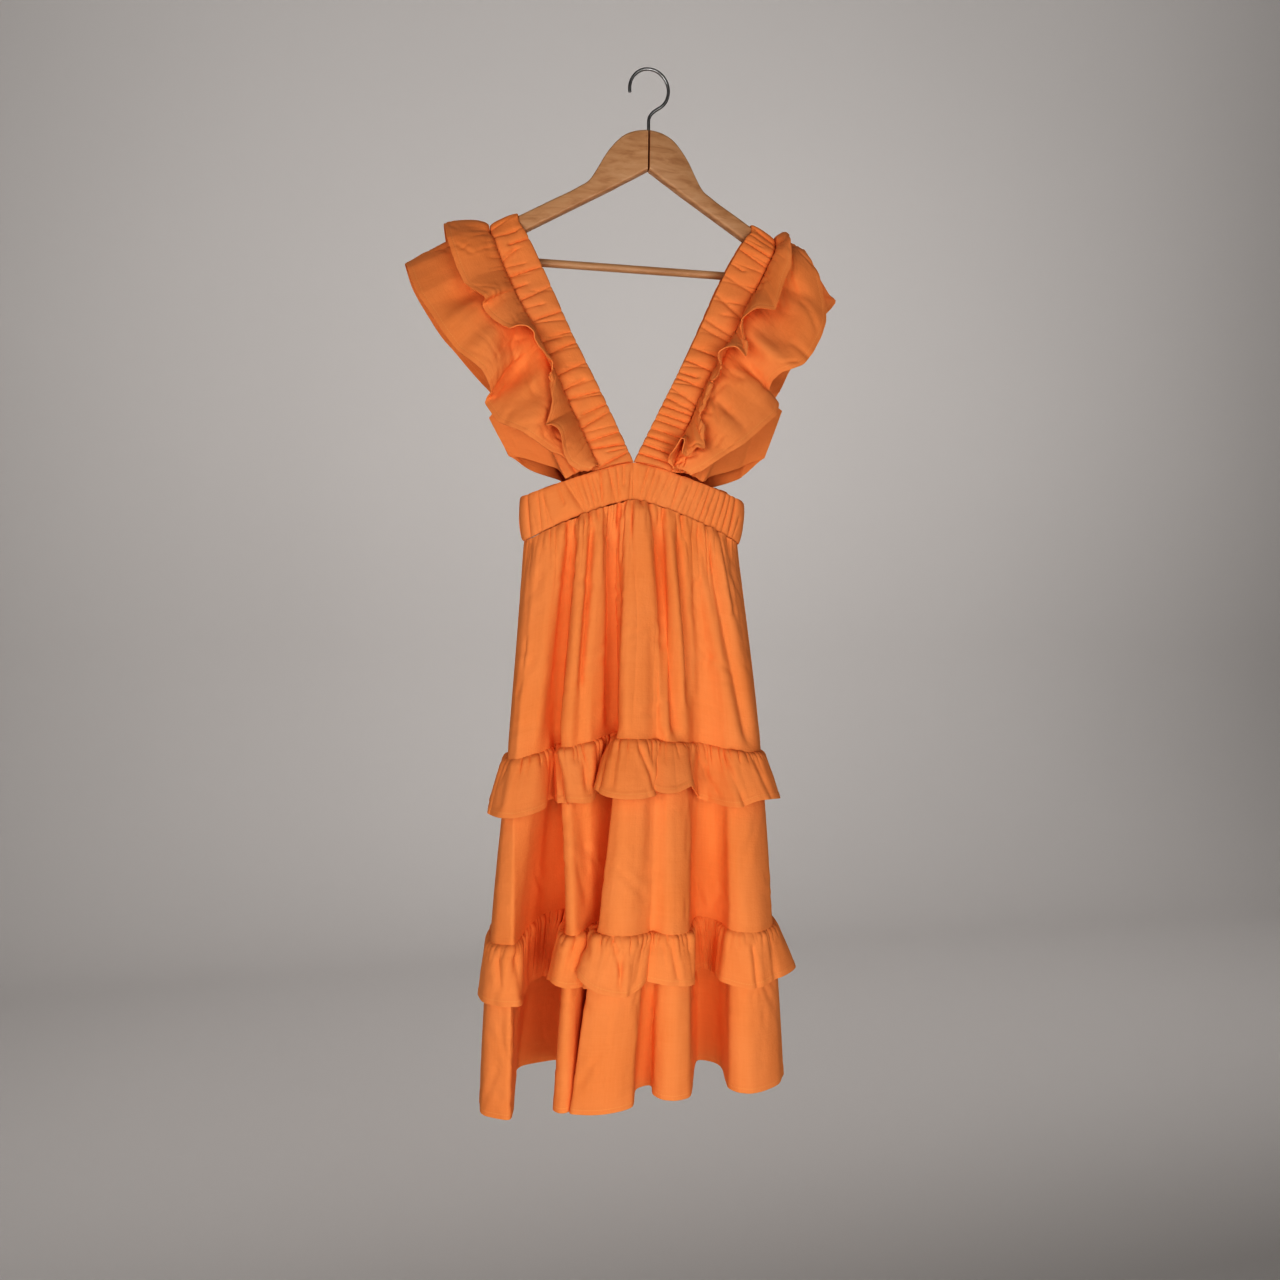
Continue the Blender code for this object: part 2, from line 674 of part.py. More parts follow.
def strap_edges(side, s):
    """Inner and outer edge points of a strap at stations s, from the front waist to the back waist."""
    rows = np.array(STRAPS[side]) * ([1] + [MM] * 6)
    lines = []
    for edge in (0, 1):
        x, z = rows[:, 1 + 2 * edge], rows[:, 2 + 2 * edge].copy()
        shift = BACK_STRAP_SHIFT * (1 - rows[:, 0] / 0.5)
        front_foot = band_heights(x[0], FRONT_PEAK)[0] + SEAM
        back_foot = band_heights(x[0] + shift[0], BACK_PEAK)[0] + SEAM
        front_z, back_z = z.copy(), z.copy()
        front_z[0], back_z[0] = front_foot, back_foot
        front_y, back_y = rows[:, 5].copy(), rows[:, 6].copy()
        front_y[0] = -waist_y(x[0])
        back_y[0] = waist_y(x[0] + shift[0])
        top_x = SHOULDER[side][edge]
        high = arm_top(top_x) + OVER_ARM_CLEARANCE
        middle = arm_y(top_x)
        half = ARM_HALF_THICK + OVER_ARM_CLEARANCE
        crown = [(s, top_x, middle + half * reach, high + rise) for s, reach, rise in CROWN]
        front = list(zip(rows[:, 0], x, front_y, front_z))
        back = list(zip(1 - rows[::-1, 0], (x + shift)[::-1], back_y[::-1], back_z[::-1]))
        table = np.array(front + crown + back)
        lines.append(along(table[:, 0], table[:, 1:], s))
    return lines


def strap_stations(count):
    """Stations along a strap, closer together where it bends over the arm."""
    front = np.linspace(0, 0.46, count)
    crown = np.linspace(0.46, 0.54, 11)[1:-1]
    return np.concatenate([front, crown, 1 - front[::-1]])


def strap(side, finish):
    s = strap_stations(STRAP_FRONT_SAMPLES)
    inner, outer = strap_edges(side, s)
    across = np.linspace(0, 1, 3)[:, None, None]
    grid = inner * (1 - across) + outer * across
    for end, peak in ((0, FRONT_PEAK), (-1, BACK_PEAK)):
        grid[:, end, 2] = band_heights(grid[:, end, 0], peak)[0] + STRAP_FOOT_GAP
    part = np.where(s < 0.5, s, 1 - s)
    fade = 1 - np.exp(-(((part - 0.5) / STRAP_SMOOTH_CROWN) ** 2))
    slant = 0.012 * np.linspace(-1, 1, 3)[:, None]
    gathers = uneven(s[None, :] + slant, 2 * STRAP_GATHERS_FRONT, 0.1 if side == "left" else 0.6)
    foot = (part / STRAP_SMOOTH_FOOT).clip(0, 1)
    cloth(f"strap_{side}", grid, (0, 0, 1), finish, CASING, STRAP_RIDGE * gathers * fade * foot)


def bodice(side, facing, finish):
    """A side panel from the strap's outer edge to the side seam, cut away above the waistband."""
    sign = -1 if side == "left" else 1
    down = np.linspace(0, 1, 7)
    s = BODICE_LEAVES_STRAP * (1 - down)
    edge = strap_edges(side, s if facing < 0 else 1 - s)[1]
    edge[:, 0] += sign * SEAM
    seam_x, seam_z = SIDE_SEAM_X[side], SIDE_SEAM_Z[side]
    seam = np.column_stack([
        seam_x[0] + (seam_x[1] - seam_x[0]) * down,
        SIDE_SEAM_Y[0] + (SIDE_SEAM_Y[1] - SIDE_SEAM_Y[0]) * down + facing * SEAM / 2,
        seam_z[0] + (seam_z[1] - seam_z[0]) * down,
    ])
    peak = FRONT_PEAK if facing < 0 else BACK_PEAK
    across = np.linspace(0, 1, 10)
    band_end = BODICE_ON_BAND[side] + (0 if facing < 0 else BACK_STRAP_SHIFT / 2)
    halfway = (1 + BODICE_BAND_PART) / 2
    clear_x = band_end + BODICE_FOOT_SPREAD * (seam_x[1] - band_end)
    foot_x = along((0, BODICE_BAND_PART, halfway, 1), (edge[-1, 0], band_end, clear_x, seam_x[1]), across)
    foot_on_band = band_heights(foot_x, peak)[0] + SEAM
    lift = ((across - BODICE_BAND_PART) / (1 - BODICE_BAND_PART)).clip(0, 1) ** BODICE_FOOT_RISE[side]
    foot_z = foot_on_band * (1 - lift) + seam_z[1] * lift
    foot_y = facing * waist_y(foot_x) * (1 - lift) + seam[-1, 1] * lift
    foot = np.column_stack([foot_x, foot_y, foot_z])
    head = edge[0] + (seam[0] - edge[0]) * across[:, None]
    head[:, 2] -= BODICE_SAG * np.sin(np.pi * across)
    head[:, 1] += facing * 0.5 * BODICE_SAG * np.sin(np.pi * across)
    v = down[:, None, None]
    u = across[None, :, None]
    sides = edge[:, None] * (1 - u) + seam[:, None] * u
    ends = head[None] * (1 - v) + foot[None] * v
    corners = (
        (1 - u) * (1 - v) * edge[0] + u * (1 - v) * seam[0] + (1 - u) * v * edge[-1] + u * v * seam[-1]
    )
    name = f"bodice_{'front' if facing < 0 else 'back'}_{side}"
    cloth(name, sides + ends - corners, (0, facing, 0), finish)


def outward_of(side, s):
    """Unit normals of the strap's outer side at stations s."""
    inner, outer = strap_edges(side, s)
    grid = np.stack([inner, outer])
    return grid_normals(grid, (0, 0, 1))[0]


def ruffle_stations():
    """Stations shared by both shoulder ruffles, closer together over the hanger's arm."""
    front = np.linspace(0.004, 0.452, RUFFLE_SAMPLES)
    crown = np.linspace(0.466, 0.534, RUFFLE_CROWN_SAMPLES)
    return np.concatenate([front, crown, 1 - front[::-1]])


def wide_edge(side, s):
    rows = np.array(WIDE_EDGES[side]) * ([1] + [MM] * 3)
    return along(rows[:, 0], rows[:, 1:], s)


def wide_surface(side, s, c):
    """Points of the wide ruffle's inner side at stations s, each a part c of the way to its free edge."""
    sign = -1 if side == "left" else 1
    outward = outward_of(side, s)
    start = strap_edges(side, s)[1] + outward * RUFFLE_LAYER
    start[:, 0] += sign * RUFFLE_ASIDE
    free = wide_edge(side, s)
    middle = (start + free) / 2 + outward * WIDE_BULGE
    c = c[..., None]
    return start * (1 - c) ** 2 + middle * 2 * c * (1 - c) + free * c**2


def wide_ruffle(side, finish):
    """A gathered strip from the strap's outer edge to a wavy free edge."""
    s = ruffle_stations()
    grid = wide_surface(side, s, np.linspace(0, 1, 5)[:, None] * np.ones(len(s)))
    cloth(f"wide_ruffle_{side}", grid, (0, 0, 1), finish)


def narrow_ruffle(side, finish):
    """A narrower strip that lies on the wide ruffle and stands off it towards its own free edge."""
    s = ruffle_stations()
    rows = np.array(NARROW_EDGES[side]) * ([1] + [MM] * 3)
    x, z, stand = (along(rows[:, 0], rows[:, column], s) for column in (1, 2, 3))
    outward = outward_of(side, s)
    start = wide_surface(side, s, np.zeros(len(s)))
    free = wide_surface(side, s, np.ones(len(s)))
    part = ((x - start[:, 0]) / (free[:, 0] - start[:, 0])).clip(0.15, 0.8)
    rest = wide_surface(side, s, part)
    aside = np.column_stack([x, rest[:, 1], z]) - rest
    aside -= outward * np.sum(aside * outward, axis=1, keepdims=True)
    c = np.linspace(0, 1, 5)[:, None]
    lift = RUFFLE_LAYER + stand * c**NARROW_RISE
    grid = wide_surface(side, s, c * part) + outward * lift[..., None] + aside * c[..., None] ** 2
    cloth(f"narrow_ruffle_{side}", grid, (0, 0, 1), finish)


def build():
    clear_scene()
    for side in ("left", "right"):
        hanger_arm(side, WOOD)
    hanger_bar(WOOD)
    hanger_hook(STEEL)
    for side, facing, peak in (("front", -1, FRONT_PEAK), ("back", 1, BACK_PEAK)):
        waistband(side, facing, peak, LINEN)
        folds = FRONT_FOLDS if facing < 0 else BACK_FOLDS
        skirt_section(f"skirt_top_{side}", folds, facing, (0, 1), 6, LINEN)
        skirt_section(f"skirt_mid_{side}", folds, facing, (1, 2), 3, LINEN)
        skirt_section(f"skirt_low_{side}", folds, facing, (2, 3), 3, LINEN)
        tier_ruffle(f"tier_1_ruffle_{side}", folds, facing, 1, LINEN)
        tier_ruffle(f"tier_2_ruffle_{side}", folds, facing, 2, LINEN)
    for side in ("left", "right"):
        strap(side, LINEN)
        bodice(side, -1, LINEN)
        bodice(side, 1, LINEN)
        wide_ruffle(side, LINEN)
        narrow_ruffle(side, LINEN)


build()
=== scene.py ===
import math

import bpy
import numpy as np
from mathutils import Matrix, Vector


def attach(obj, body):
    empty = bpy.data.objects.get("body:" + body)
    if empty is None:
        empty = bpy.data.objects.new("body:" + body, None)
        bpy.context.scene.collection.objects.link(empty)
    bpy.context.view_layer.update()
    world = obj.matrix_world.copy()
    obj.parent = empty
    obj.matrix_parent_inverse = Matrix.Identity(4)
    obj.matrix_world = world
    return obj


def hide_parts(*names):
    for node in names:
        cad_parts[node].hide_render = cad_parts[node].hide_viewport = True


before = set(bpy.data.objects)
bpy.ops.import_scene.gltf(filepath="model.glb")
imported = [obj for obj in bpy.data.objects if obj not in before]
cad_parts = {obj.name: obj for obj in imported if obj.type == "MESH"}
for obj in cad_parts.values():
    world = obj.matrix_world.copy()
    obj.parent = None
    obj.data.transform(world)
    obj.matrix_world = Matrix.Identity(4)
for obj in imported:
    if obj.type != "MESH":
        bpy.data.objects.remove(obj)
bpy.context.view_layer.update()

MM = 0.001
CREST, TROUGH, SIDE = 1, -1, 0

# Hanger
HOOK_WIRE = 1.9 * MM
HOOK_RADIUS = 24.0 * MM
HOOK_TIP_ANGLE = math.radians(192)
HOOK_TURN_ANGLE = math.radians(-58)
WOOD_TOP = -70.0 * MM
ARM_SWEEP = math.radians(10.15)
ARM_HALF_THICK = 6.0 * MM
ARM_EDGE_ROUND = 3.5 * MM
BAR_RADIUS = 4.8 * MM
BAR_HEIGHT = -225.0 * MM
LOBE_START = 196.0 * MM

# Cloth
CLOTH = 1.0 * MM
SEAM = 0.4 * MM
SEAM_LAP = 0.25 * MM
STITCH_FROM_EDGE = 6.0 * MM
STITCH_HALF_WIDTH = 0.4 * MM
STITCH_PITCH = 2.8 * MM

# Waistband, as an oval seen from above
WAIST_CENTRE = -12.5 * MM
WAIST_HALF_WIDTH = 139.0 * MM
WAIST_HALF_DEPTH = 36.0 * MM
WAIST_SQUARENESS = 2.4
BAND_TOP_PEAK = -473.0 * MM
BAND_TOP_FALL = 43.0 * MM
BAND_FOOT_PEAK = -518.0 * MM
BAND_FOOT_FALL = 53.0 * MM
BAND_TAPER = 3.0 * MM
FRONT_PEAK = -20.0 * MM
BACK_PEAK = -6.0 * MM

BAND_DEPTH = 48.0 * MM
BACK_BAND_LIFT = 9.0 * MM
BAND_PUFF = 5.4 * MM
# The band's plainest pinches on the front: x at the top and the foot, start and end down the band, strength
BAND_PINCHES = (
    (-146, -141, -0.1, 1.1, 0.8), (-134, -129, 0, 1, 0.6), (-128, -114, 0.2, 1.1, 0.55),
    (-106, -78, -0.1, 1, 0.85), (-101, -82, -0.1, 0.8, 0.6), (-93, -74, 0, 1.1, 0.8),
    (-85, -70, -0.1, 1, 0.7), (-78, -64, -0.1, 1.1, 0.85), (-70, -58, 0.1, 1.1, 0.7),
    (-61, -57, -0.1, 1.1, 0.85), (-51, -40, 0, 1.1, 0.8), (-41, -36, 0, 1.1, 0.7),
    (-32, -33, -0.1, 0.6, 0.6), (-23, -25, 0.2, 1.1, 0.75), (-20, -20, -0.1, 1.1, 0.98),
    (-17, -16, -0.1, 0.9, 0.6), (0, -14, -0.1, 1.1, 0.8), (9, -5, 0, 1, 0.8), (16, 0, 0.1, 1.1, 0.7),
    (27, 7, 0, 1.1, 0.85), (36, 16, -0.1, 0.9, 0.6), (42, 25, -0.1, 1.1, 0.85), (50, 33, 0.2, 1.1, 0.7),
    (58, 40, -0.1, 1.1, 0.8), (66, 48, -0.1, 1, 0.85), (73, 54, 0, 1.1, 0.75), (80, 62, -0.1, 1.1, 0.85),
    (88, 70, -0.1, 1, 0.75), (94, 78, -0.1, 1.1, 0.8), (101, 85, 0, 1.1, 0.8), (108, 93, -0.1, 1.1, 0.8),
    (115, 103, -0.1, 1.1, 0.95),
)

# Straps
BACK_STRAP_SHIFT = 14.0 * MM
OVER_ARM_CLEARANCE = 1.4 * MM

# Skirt seams: the height at the peak, the fall to each side, and where the peak is
TIER_ONE = (-807.0 * MM, 38.0 * MM, -28.0 * MM)
TIER_TWO = (-1036.0 * MM, 23.0 * MM, -45.0 * MM)
HEM = (-1254.0 * MM, 15.0 * MM, -20.0 * MM)
SEAM_FALL_POWER = 1.25
WAIST_FOLD = 2.5 * MM
FOLD_FULLNESS = 0.95
PLAN_SAMPLES = 2400
LOW_TIER_EASE = 0.72
SEAM_LIP = 1.7 * MM
TUCK_DEPTH = 6.5 * MM
TUCK_OUT = 3.6 * MM
# A side seam that has come round to the front
SEAM_PLACE = 2.0
SEAM_WELT = 1.0 * MM
CRUMPLE_AREA = 0.0024
SOFT_BENDS = (0.0, 2.0, 4.0, 7.0, 11.0)
# Gathers at the waist: width, depth and how far they run
WAIST_GATHERS = ((6 * MM, 2.6 * MM, 22 * MM), (12 * MM, 3.8 * MM, 60 * MM), (26 * MM, 3.4 * MM, 160 * MM))
RUFFLE_ROWS = np.concatenate([np.linspace(0, 0.3, 9), np.linspace(0.36, 0.84, 8), np.linspace(0.88, 1.0, 7)])
# Sharper creases on the front of the skirt: x and z at the top and at the foot, width and depth
SKIRT_CREASES = (
    (-97, -528, -102, -566, 2.4, 2.4), (-86, -524, -90, -585, 2.2, 2.6), (-75, -519, -73, -550, 2.2, 2),
    (-65, -516, -63, -545, 2.2, 2), (-56, -514, -58, -606, 2.4, 2.6), (-38, -506, -38, -556, 2.4, 2.2),
    (-28, -504, -33, -541, 2, 2), (-13, -504, -10, -528, 2.2, 2), (-3, -508, 8, -574, 2.4, 2.4),
    (16, -512, 18, -541, 2.2, 1.8), (39, -522, 43, -566, 2.4, 2.2), (71, -533, 82, -608, 2.6, 2.4),
    (86, -540, 112, -664, 2.8, 2.2), (100, -548, 108, -590, 2.2, 1.8), (130, -700, 158, -745, 3.4, 1.6),
    (104, -600, 128, -640, 3.4, 1.4), (-128, -600, -142, -640, 5, 1.6), (-136, -560, -120, -600, 4, 1.2),
    (-94, -562, -119, -814, 8, 6), (-71, -548, -85, -750, 4, 4.5), (-48, -545, -45, -807, 6.5, 6.5),
    (8, -540, 35, -833, 6.5, 9), (35, -550, 51, -764, 4.5, 5), (73, -572, 133, -830, 7, 7),
)

# Front of the skirt seen from above, from the left side seam to the right one
# Columns: softness of the bend, then x and y at the waist, tier 1, tier 2 and hem
FRONT_PLAN = (
    (5, -148, 0, -168, -8, -190, -26, -204, -36), (7, -144, -14, -170, -34, -191, -58, -204, -64),
    (3, -133, -25, -161, -46, -167, -77, -171, -86), (5, -117, -33, -137, -42, -159, -58, -166, -62),
    (5, -106, -35, -121, -28, -147, -28, -161, -16), (7, -98, -33, -114, -15, -125, 4, -156, 34),
    (5, -91, -34, -97, -14, -88, 8, -96, 34), (3, -87, -42, -106, -46, -103, -80, -117, -84),
    (6, -81, -43, -97, -54, -95, -90, -107, -94), (8, -68, -36, -84, -44, -76, -66, -89, -84),
    (7, -59, -43, -73, -54, -70, -62, -90, -68), (9, -50, -34, -55, -28, -57, -50, -83, -56),
    (7, -39, -30, -28, -16, -48, -44, -78, -52), (2, -24, -43, -40, -62, -67, -94, -98, -96),
    (7, -16, -47, -31, -69, -53, -108, -80, -106), (10, -5, -46, -12, -68, -31, -111, -54, -110),
    (4, 5, -40, 2, -60, -10, -98, -23, -105), (4, 11, -37, 9, -56, -4, -92, -14, -62),
    (6, 16, -37, 15, -57, 4, -92, 14, -52), (4, 23, -42, 22, -62, 13, -102, 6, -80),
    (9, 34, -43, 33, -60, 27, -106, 24, -97), (4, 46, -39, 50, -50, 45, -92, 51, -89),
    (5, 54, -35, 60, -39, 58, -52, 71, -30), (7, 59, -35, 70, -34, 69, -34, 84, 8),
    (8, 66, -36, 85, -36, 92, -42, 117, -8), (6, 71, -38, 95, -42, 101, -58, 112, -42),
    (4, 76, -38, 102, -48, 101, -80, 108, -70), (9, 87, -36, 118, -50, 116, -90, 123, -86),
    (9, 97, -31, 134, -45, 140, -84, 151, -78), (7, 110, -20, 149, -32, 164, -60, 177, -62),
    (5, 123, 0, 159, -8, 173, -28, 192, -38),
)
BACK_FOLDS = (
    (SIDE, -148, -168, -8, -190, -26, -204, -36), (CREST, -118, -138, 34, -150, 48, -152, 62),
    (TROUGH, -88, -100, 22, -102, 34, -100, 50), (CREST, -58, -62, 44, -58, 58, -54, 72),
    (TROUGH, -28, -26, 28, -20, 36, -14, 40), (CREST, 4, 12, 46, 22, 60, 28, 76),
    (TROUGH, 34, 48, 26, 62, 34, 68, 38), (CREST, 64, 80, 40, 98, 52, 106, 62),
    (TROUGH, 92, 112, 20, 132, 22, 144, 26), (SIDE, 123, 159, -8, 173, -28, 192, -38),
)

# Shoulder straps, from the waistband up to just under the hanger's arm
# Columns: part of the way along, inner edge x and z, outer edge x and z, front y, back y
STRAPS = {
    "left": (
        (0, -20.3, -473, -62, -484, -36, 36), (0.13, -56, -396, -99, -404, -25, 38),
        (0.26, -95, -315, -140, -316, -9, 41), (0.38, -129, -235, -172, -246, 10, 43),
        (0.45, -149, -194, -186, -208, 16, 43),
    ),
    "right": (
        (0, -19.7, -473, 27, -483, -36, 36), (0.13, 17, -401, 59, -404, -25, 38),
        (0.26, 60, -318, 106, -318, -9, 41), (0.38, 107, -221, 151, -232, 6, 43),
        (0.45, 132, -181, 168, -197, 12, 43),
    ),
}
# The strap over the arm: part of the way along, reach across in half thicknesses, rise over the arm's top
CROWN = (
    (0.475, -1, -8.0 * MM), (0.489, -0.72, -1.2 * MM), (0.5, 0, 0.6 * MM), (0.511, 0.72, -1.2 * MM),
    (0.525, 1, -8.0 * MM),
)
STRAP_LENGTH = 0.64
STRAP_HALF_WIDTH = 0.0205
STRAP_PUFF = 4.8 * MM
# The straps' plainest pinches on the front: place along and aside (-1 inner edge, 1 outer edge) at both ends
STRAP_PINCHES = {
    "left": (
        (0.452, 1.1, 0.452, -0.5), (0.428, 0.3, 0.432, -1.1), (0.398, 1.1, 0.418, 0),
        (0.366, 1.1, 0.377, -1.1), (0.341, 1.1, 0.348, 0.2), (0.313, 1.2, 0.341, -1.1),
        (0.27, 1.2, 0.296, -1.1), (0.244, 0.4, 0.258, -1.1), (0.233, 1.1, 0.246, -0.2),
        (0.211, 1.1, 0.238, -1.1), (0.174, 1.2, 0.2, -1.1), (0.15, 1.1, 0.166, -0.4),
        (0.135, 1.2, 0.143, -1.1), (0.104, 0.6, 0.118, -1.1), (0.077, 1.2, 0.104, -1.1),
        (0.053, 1.2, 0.062, -1.1), (0.04, 1.1, 0.036, -1.1), (0.002, 1.1, 0.022, -1.1),
    ),
    "right": (
        (0.486, -1.1, 0.47, 1.1), (0.458, -1.1, 0.448, 1.1), (0.434, -1.1, 0.424, 1.1),
        (0.416, -1.1, 0.4, 1.1), (0.386, -1.1, 0.378, -0.1), (0.364, -1.1, 0.344, 1.1),
        (0.334, -1.1, 0.3, 1.1), (0.296, -1.1, 0.267, 1.2), (0.284, -1.1, 0.256, 1.2),
        (0.249, -1.2, 0.226, 1.2), (0.224, -1.1, 0.199, 1.2), (0.2, -1.1, 0.188, 0.2),
        (0.188, -1.1, 0.166, 1.2), (0.168, -1.1, 0.132, 1.2), (0.146, -1.1, 0.124, 0.9),
        (0.129, -1.1, 0.113, 1.2), (0.112, -1.1, 0.098, 1.2), (0.098, -1.1, 0.084, 1.2),
        (0.078, -1.1, 0.066, 1.2), (0.06, -1.1, 0.052, 0.6), (0.041, -1.1, 0.03, 1.1),
        (0.02, -1.1, 0.014, 1.1),
    ),
}
SHOULDER = {"left": (-156 * MM, -189 * MM), "right": (139 * MM, 172 * MM)}

# Free edges of the wide shoulder ruffles, from the front waist over the arm to the back waist
# Columns: part of the way along, x, y, z
WIDE_EDGES = {
    "left": (
        (0, -82, -42, -484), (0.04, -100, -50, -478), (0.065, -109, -56, -471), (0.09, -123, -54, -466),
        (0.12, -139, -52, -455), (0.145, -154, -50, -445), (0.165, -169, -44, -438),
        (0.185, -184, -36, -431), (0.2, -191, -28, -419), (0.216, -198, -20, -408),
        (0.228, -196, -20, -402), (0.24, -191, -30, -396), (0.255, -195, -38, -386),
        (0.275, -202, -40, -373), (0.295, -213, -36, -364), (0.32, -230, -28, -351),
        (0.345, -245, -20, -331), (0.37, -260, -12, -306), (0.4, -275, -2, -283), (0.43, -282, 10, -265),
        (0.46, -287, 26, -247), (0.5, -290, 52, -238), (0.54, -284, 70, -257), (0.585, -268, 78, -284),
        (0.63, -249, 80, -312), (0.675, -231, 74, -333), (0.72, -210, 80, -356), (0.77, -190, 70, -378),
        (0.82, -170, 78, -404), (0.87, -146, 66, -426), (0.93, -114, 66, -452), (1, -82, 46, -480),
    ),
    "right": (
        (0, 48, -42, -484), (0.05, 63, -50, -481), (0.09, 78, -54, -471), (0.12, 96, -52, -459),
        (0.145, 113, -50, -449), (0.17, 129, -46, -436), (0.19, 146, -40, -421), (0.205, 160, -32, -410),
        (0.22, 167, -20, -394), (0.235, 162, -12, -383), (0.25, 158, -12, -373), (0.265, 160, -20, -363),
        (0.28, 169, -30, -354), (0.295, 179, -36, -352), (0.312, 194, -36, -346), (0.33, 206, -30, -332),
        (0.35, 220, -20, -309), (0.37, 229, -12, -287), (0.39, 231, -6, -266), (0.41, 228, 0, -246),
        (0.43, 225, 6, -226), (0.45, 217, 14, -208), (0.47, 211, 22, -193), (0.5, 222, 44, -190),
        (0.53, 240, 56, -203), (0.56, 257, 64, -219), (0.585, 271, 68, -233), (0.6, 279, 70, -238),
        (0.612, 274, 72, -246), (0.63, 264, 74, -256), (0.665, 254, 82, -280), (0.7, 238, 76, -304),
        (0.74, 220, 82, -332), (0.79, 198, 70, -366), (0.84, 176, 78, -398), (0.89, 150, 64, -428),
        (0.94, 120, 62, -454), (1, 88, 46, -480),
    ),
}

# Free edges of the narrow shoulder ruffles, in the same columns
NARROW_EDGES = {
    "left": (
        (0, -75, -44, -484), (0.03, -91, -50, -484), (0.05, -102, -54, -479), (0.065, -109, -60, -469),
        (0.078, -111, -64, -458), (0.088, -113, -68, -448), (0.096, -117, -70, -441),
        (0.103, -123, -67, -437), (0.11, -129, -61, -438), (0.118, -128, -58, -432),
        (0.13, -124, -55, -420), (0.145, -121, -51, -406), (0.16, -121, -45, -394),
        (0.172, -120, -38, -383), (0.182, -126, -41, -377), (0.195, -123, -43, -370),
        (0.208, -123, -45, -360), (0.22, -129, -42, -353), (0.235, -138, -44, -344),
        (0.246, -144, -47, -335), (0.254, -144, -50, -329), (0.262, -150, -49, -323),
        (0.272, -160, -43, -322), (0.28, -168, -38, -325), (0.29, -176, -32, -321),
        (0.305, -188, -28, -313), (0.32, -197, -23, -303), (0.33, -201, -20, -295),
        (0.337, -202, -24, -290), (0.342, -198, -32, -289), (0.35, -204, -29, -285),
        (0.36, -212, -25, -280), (0.375, -222, -19, -271), (0.4, -230, -14, -253), (0.43, -235, -10, -237),
        (0.46, -241, -2, -217), (0.48, -243, 18, -200), (0.5, -244, 44, -188), (0.52, -243, 66, -200),
        (0.55, -238, 84, -226), (0.6, -220, 90, -262), (0.67, -186, 84, -300), (0.75, -146, 78, -348),
        (0.84, -112, 76, -396), (0.92, -84, 68, -438), (1, -58, 52, -474),
    ),
    "right": (
        (0, 31, -46, -482), (0.03, 20, -50, -474), (0.045, 22, -56, -467), (0.06, 28, -63, -458),
        (0.068, 34, -70, -445), (0.076, 31, -64, -462), (0.086, 39, -59, -468), (0.094, 49, -60, -461),
        (0.102, 52, -63, -455), (0.11, 62, -60, -458), (0.12, 60, -56, -442), (0.13, 63, -52, -430),
        (0.142, 57, -48, -416), (0.155, 62, -46, -408), (0.17, 67, -42, -394), (0.2, 76, -34, -373),
        (0.21, 81, -38, -371), (0.22, 86, -40, -364), (0.228, 89, -41, -354), (0.236, 84, -42, -346),
        (0.245, 84, -45, -339), (0.253, 93, -46, -334), (0.262, 102, -45, -332), (0.27, 109, -42, -336),
        (0.276, 117, -37, -343), (0.283, 120, -34, -333), (0.292, 120, -31, -319), (0.302, 116, -32, -313),
        (0.312, 114, -32, -304), (0.323, 116, -34, -295), (0.333, 124, -35, -287), (0.343, 133, -35, -282),
        (0.352, 145, -34, -282), (0.36, 156, -32, -283), (0.37, 159, -29, -273), (0.385, 164, -24, -261),
        (0.4, 170, -18, -245), (0.415, 174, -15, -235), (0.43, 181, -12, -222), (0.45, 182, -10, -208),
        (0.475, 184, 2, -185), (0.5, 190, 36, -168), (0.525, 198, 60, -182), (0.56, 202, 78, -210),
        (0.62, 190, 88, -252), (0.7, 156, 82, -306), (0.8, 116, 78, -366), (0.9, 86, 68, -424),
        (1, 62, 52, -474),
    ),
}
# Hollows (and ridges, where the depth is below 0) of the wide ruffles
# Columns: part of the way along and across, reach along and across, depth
BACK_HOLLOWS = (
    (0.6, 0.6, 0.025, 0.45, -6), (0.66, 0.6, 0.025, 0.45, 8), (0.74, 0.6, 0.025, 0.45, -6),
    (0.82, 0.6, 0.025, 0.45, 8),
)
WIDE_HOLLOWS = {
    "left": (
        (0.372, 0.52, 0.016, 0.26, 9), (0.345, 0.72, 0.018, 0.4, -6), (0.268, 0.34, 0.02, 0.3, 12),
        (0.226, 0.5, 0.02, 0.34, 13), (0.3, 0.66, 0.018, 0.3, -6), (0.15, 0.6, 0.022, 0.35, -6),
        (0.19, 0.3, 0.01, 0.25, -4), (0.11, 0.3, 0.016, 0.3, 7), (0.43, 0.6, 0.03, 0.5, 4),
        *BACK_HOLLOWS,
    ),
    "right": (
        (0.345, 0.25, 0.022, 0.26, 11), (0.32, 0.55, 0.02, 0.24, 7), (0.385, 0.4, 0.016, 0.3, 8),
        (0.36, 0.8, 0.03, 0.25, -6), (0.268, 0.3, 0.012, 0.3, 8), (0.285, 0.52, 0.012, 0.3, -6),
        (0.245, 0.55, 0.012, 0.32, 6), (0.215, 0.55, 0.016, 0.35, -6), (0.165, 0.42, 0.008, 0.3, 4),
        (0.14, 0.6, 0.02, 0.3, -4), (0.1, 0.4, 0.02, 0.3, 7),
        *BACK_HOLLOWS,
    ),
}
WIDE_BULGE = 9.0 * MM
NARROW_BULGE = 10.0 * MM
RUFFLE_LAYER = 1.9 * MM
RUFFLE_ASIDE = 1.3 * MM

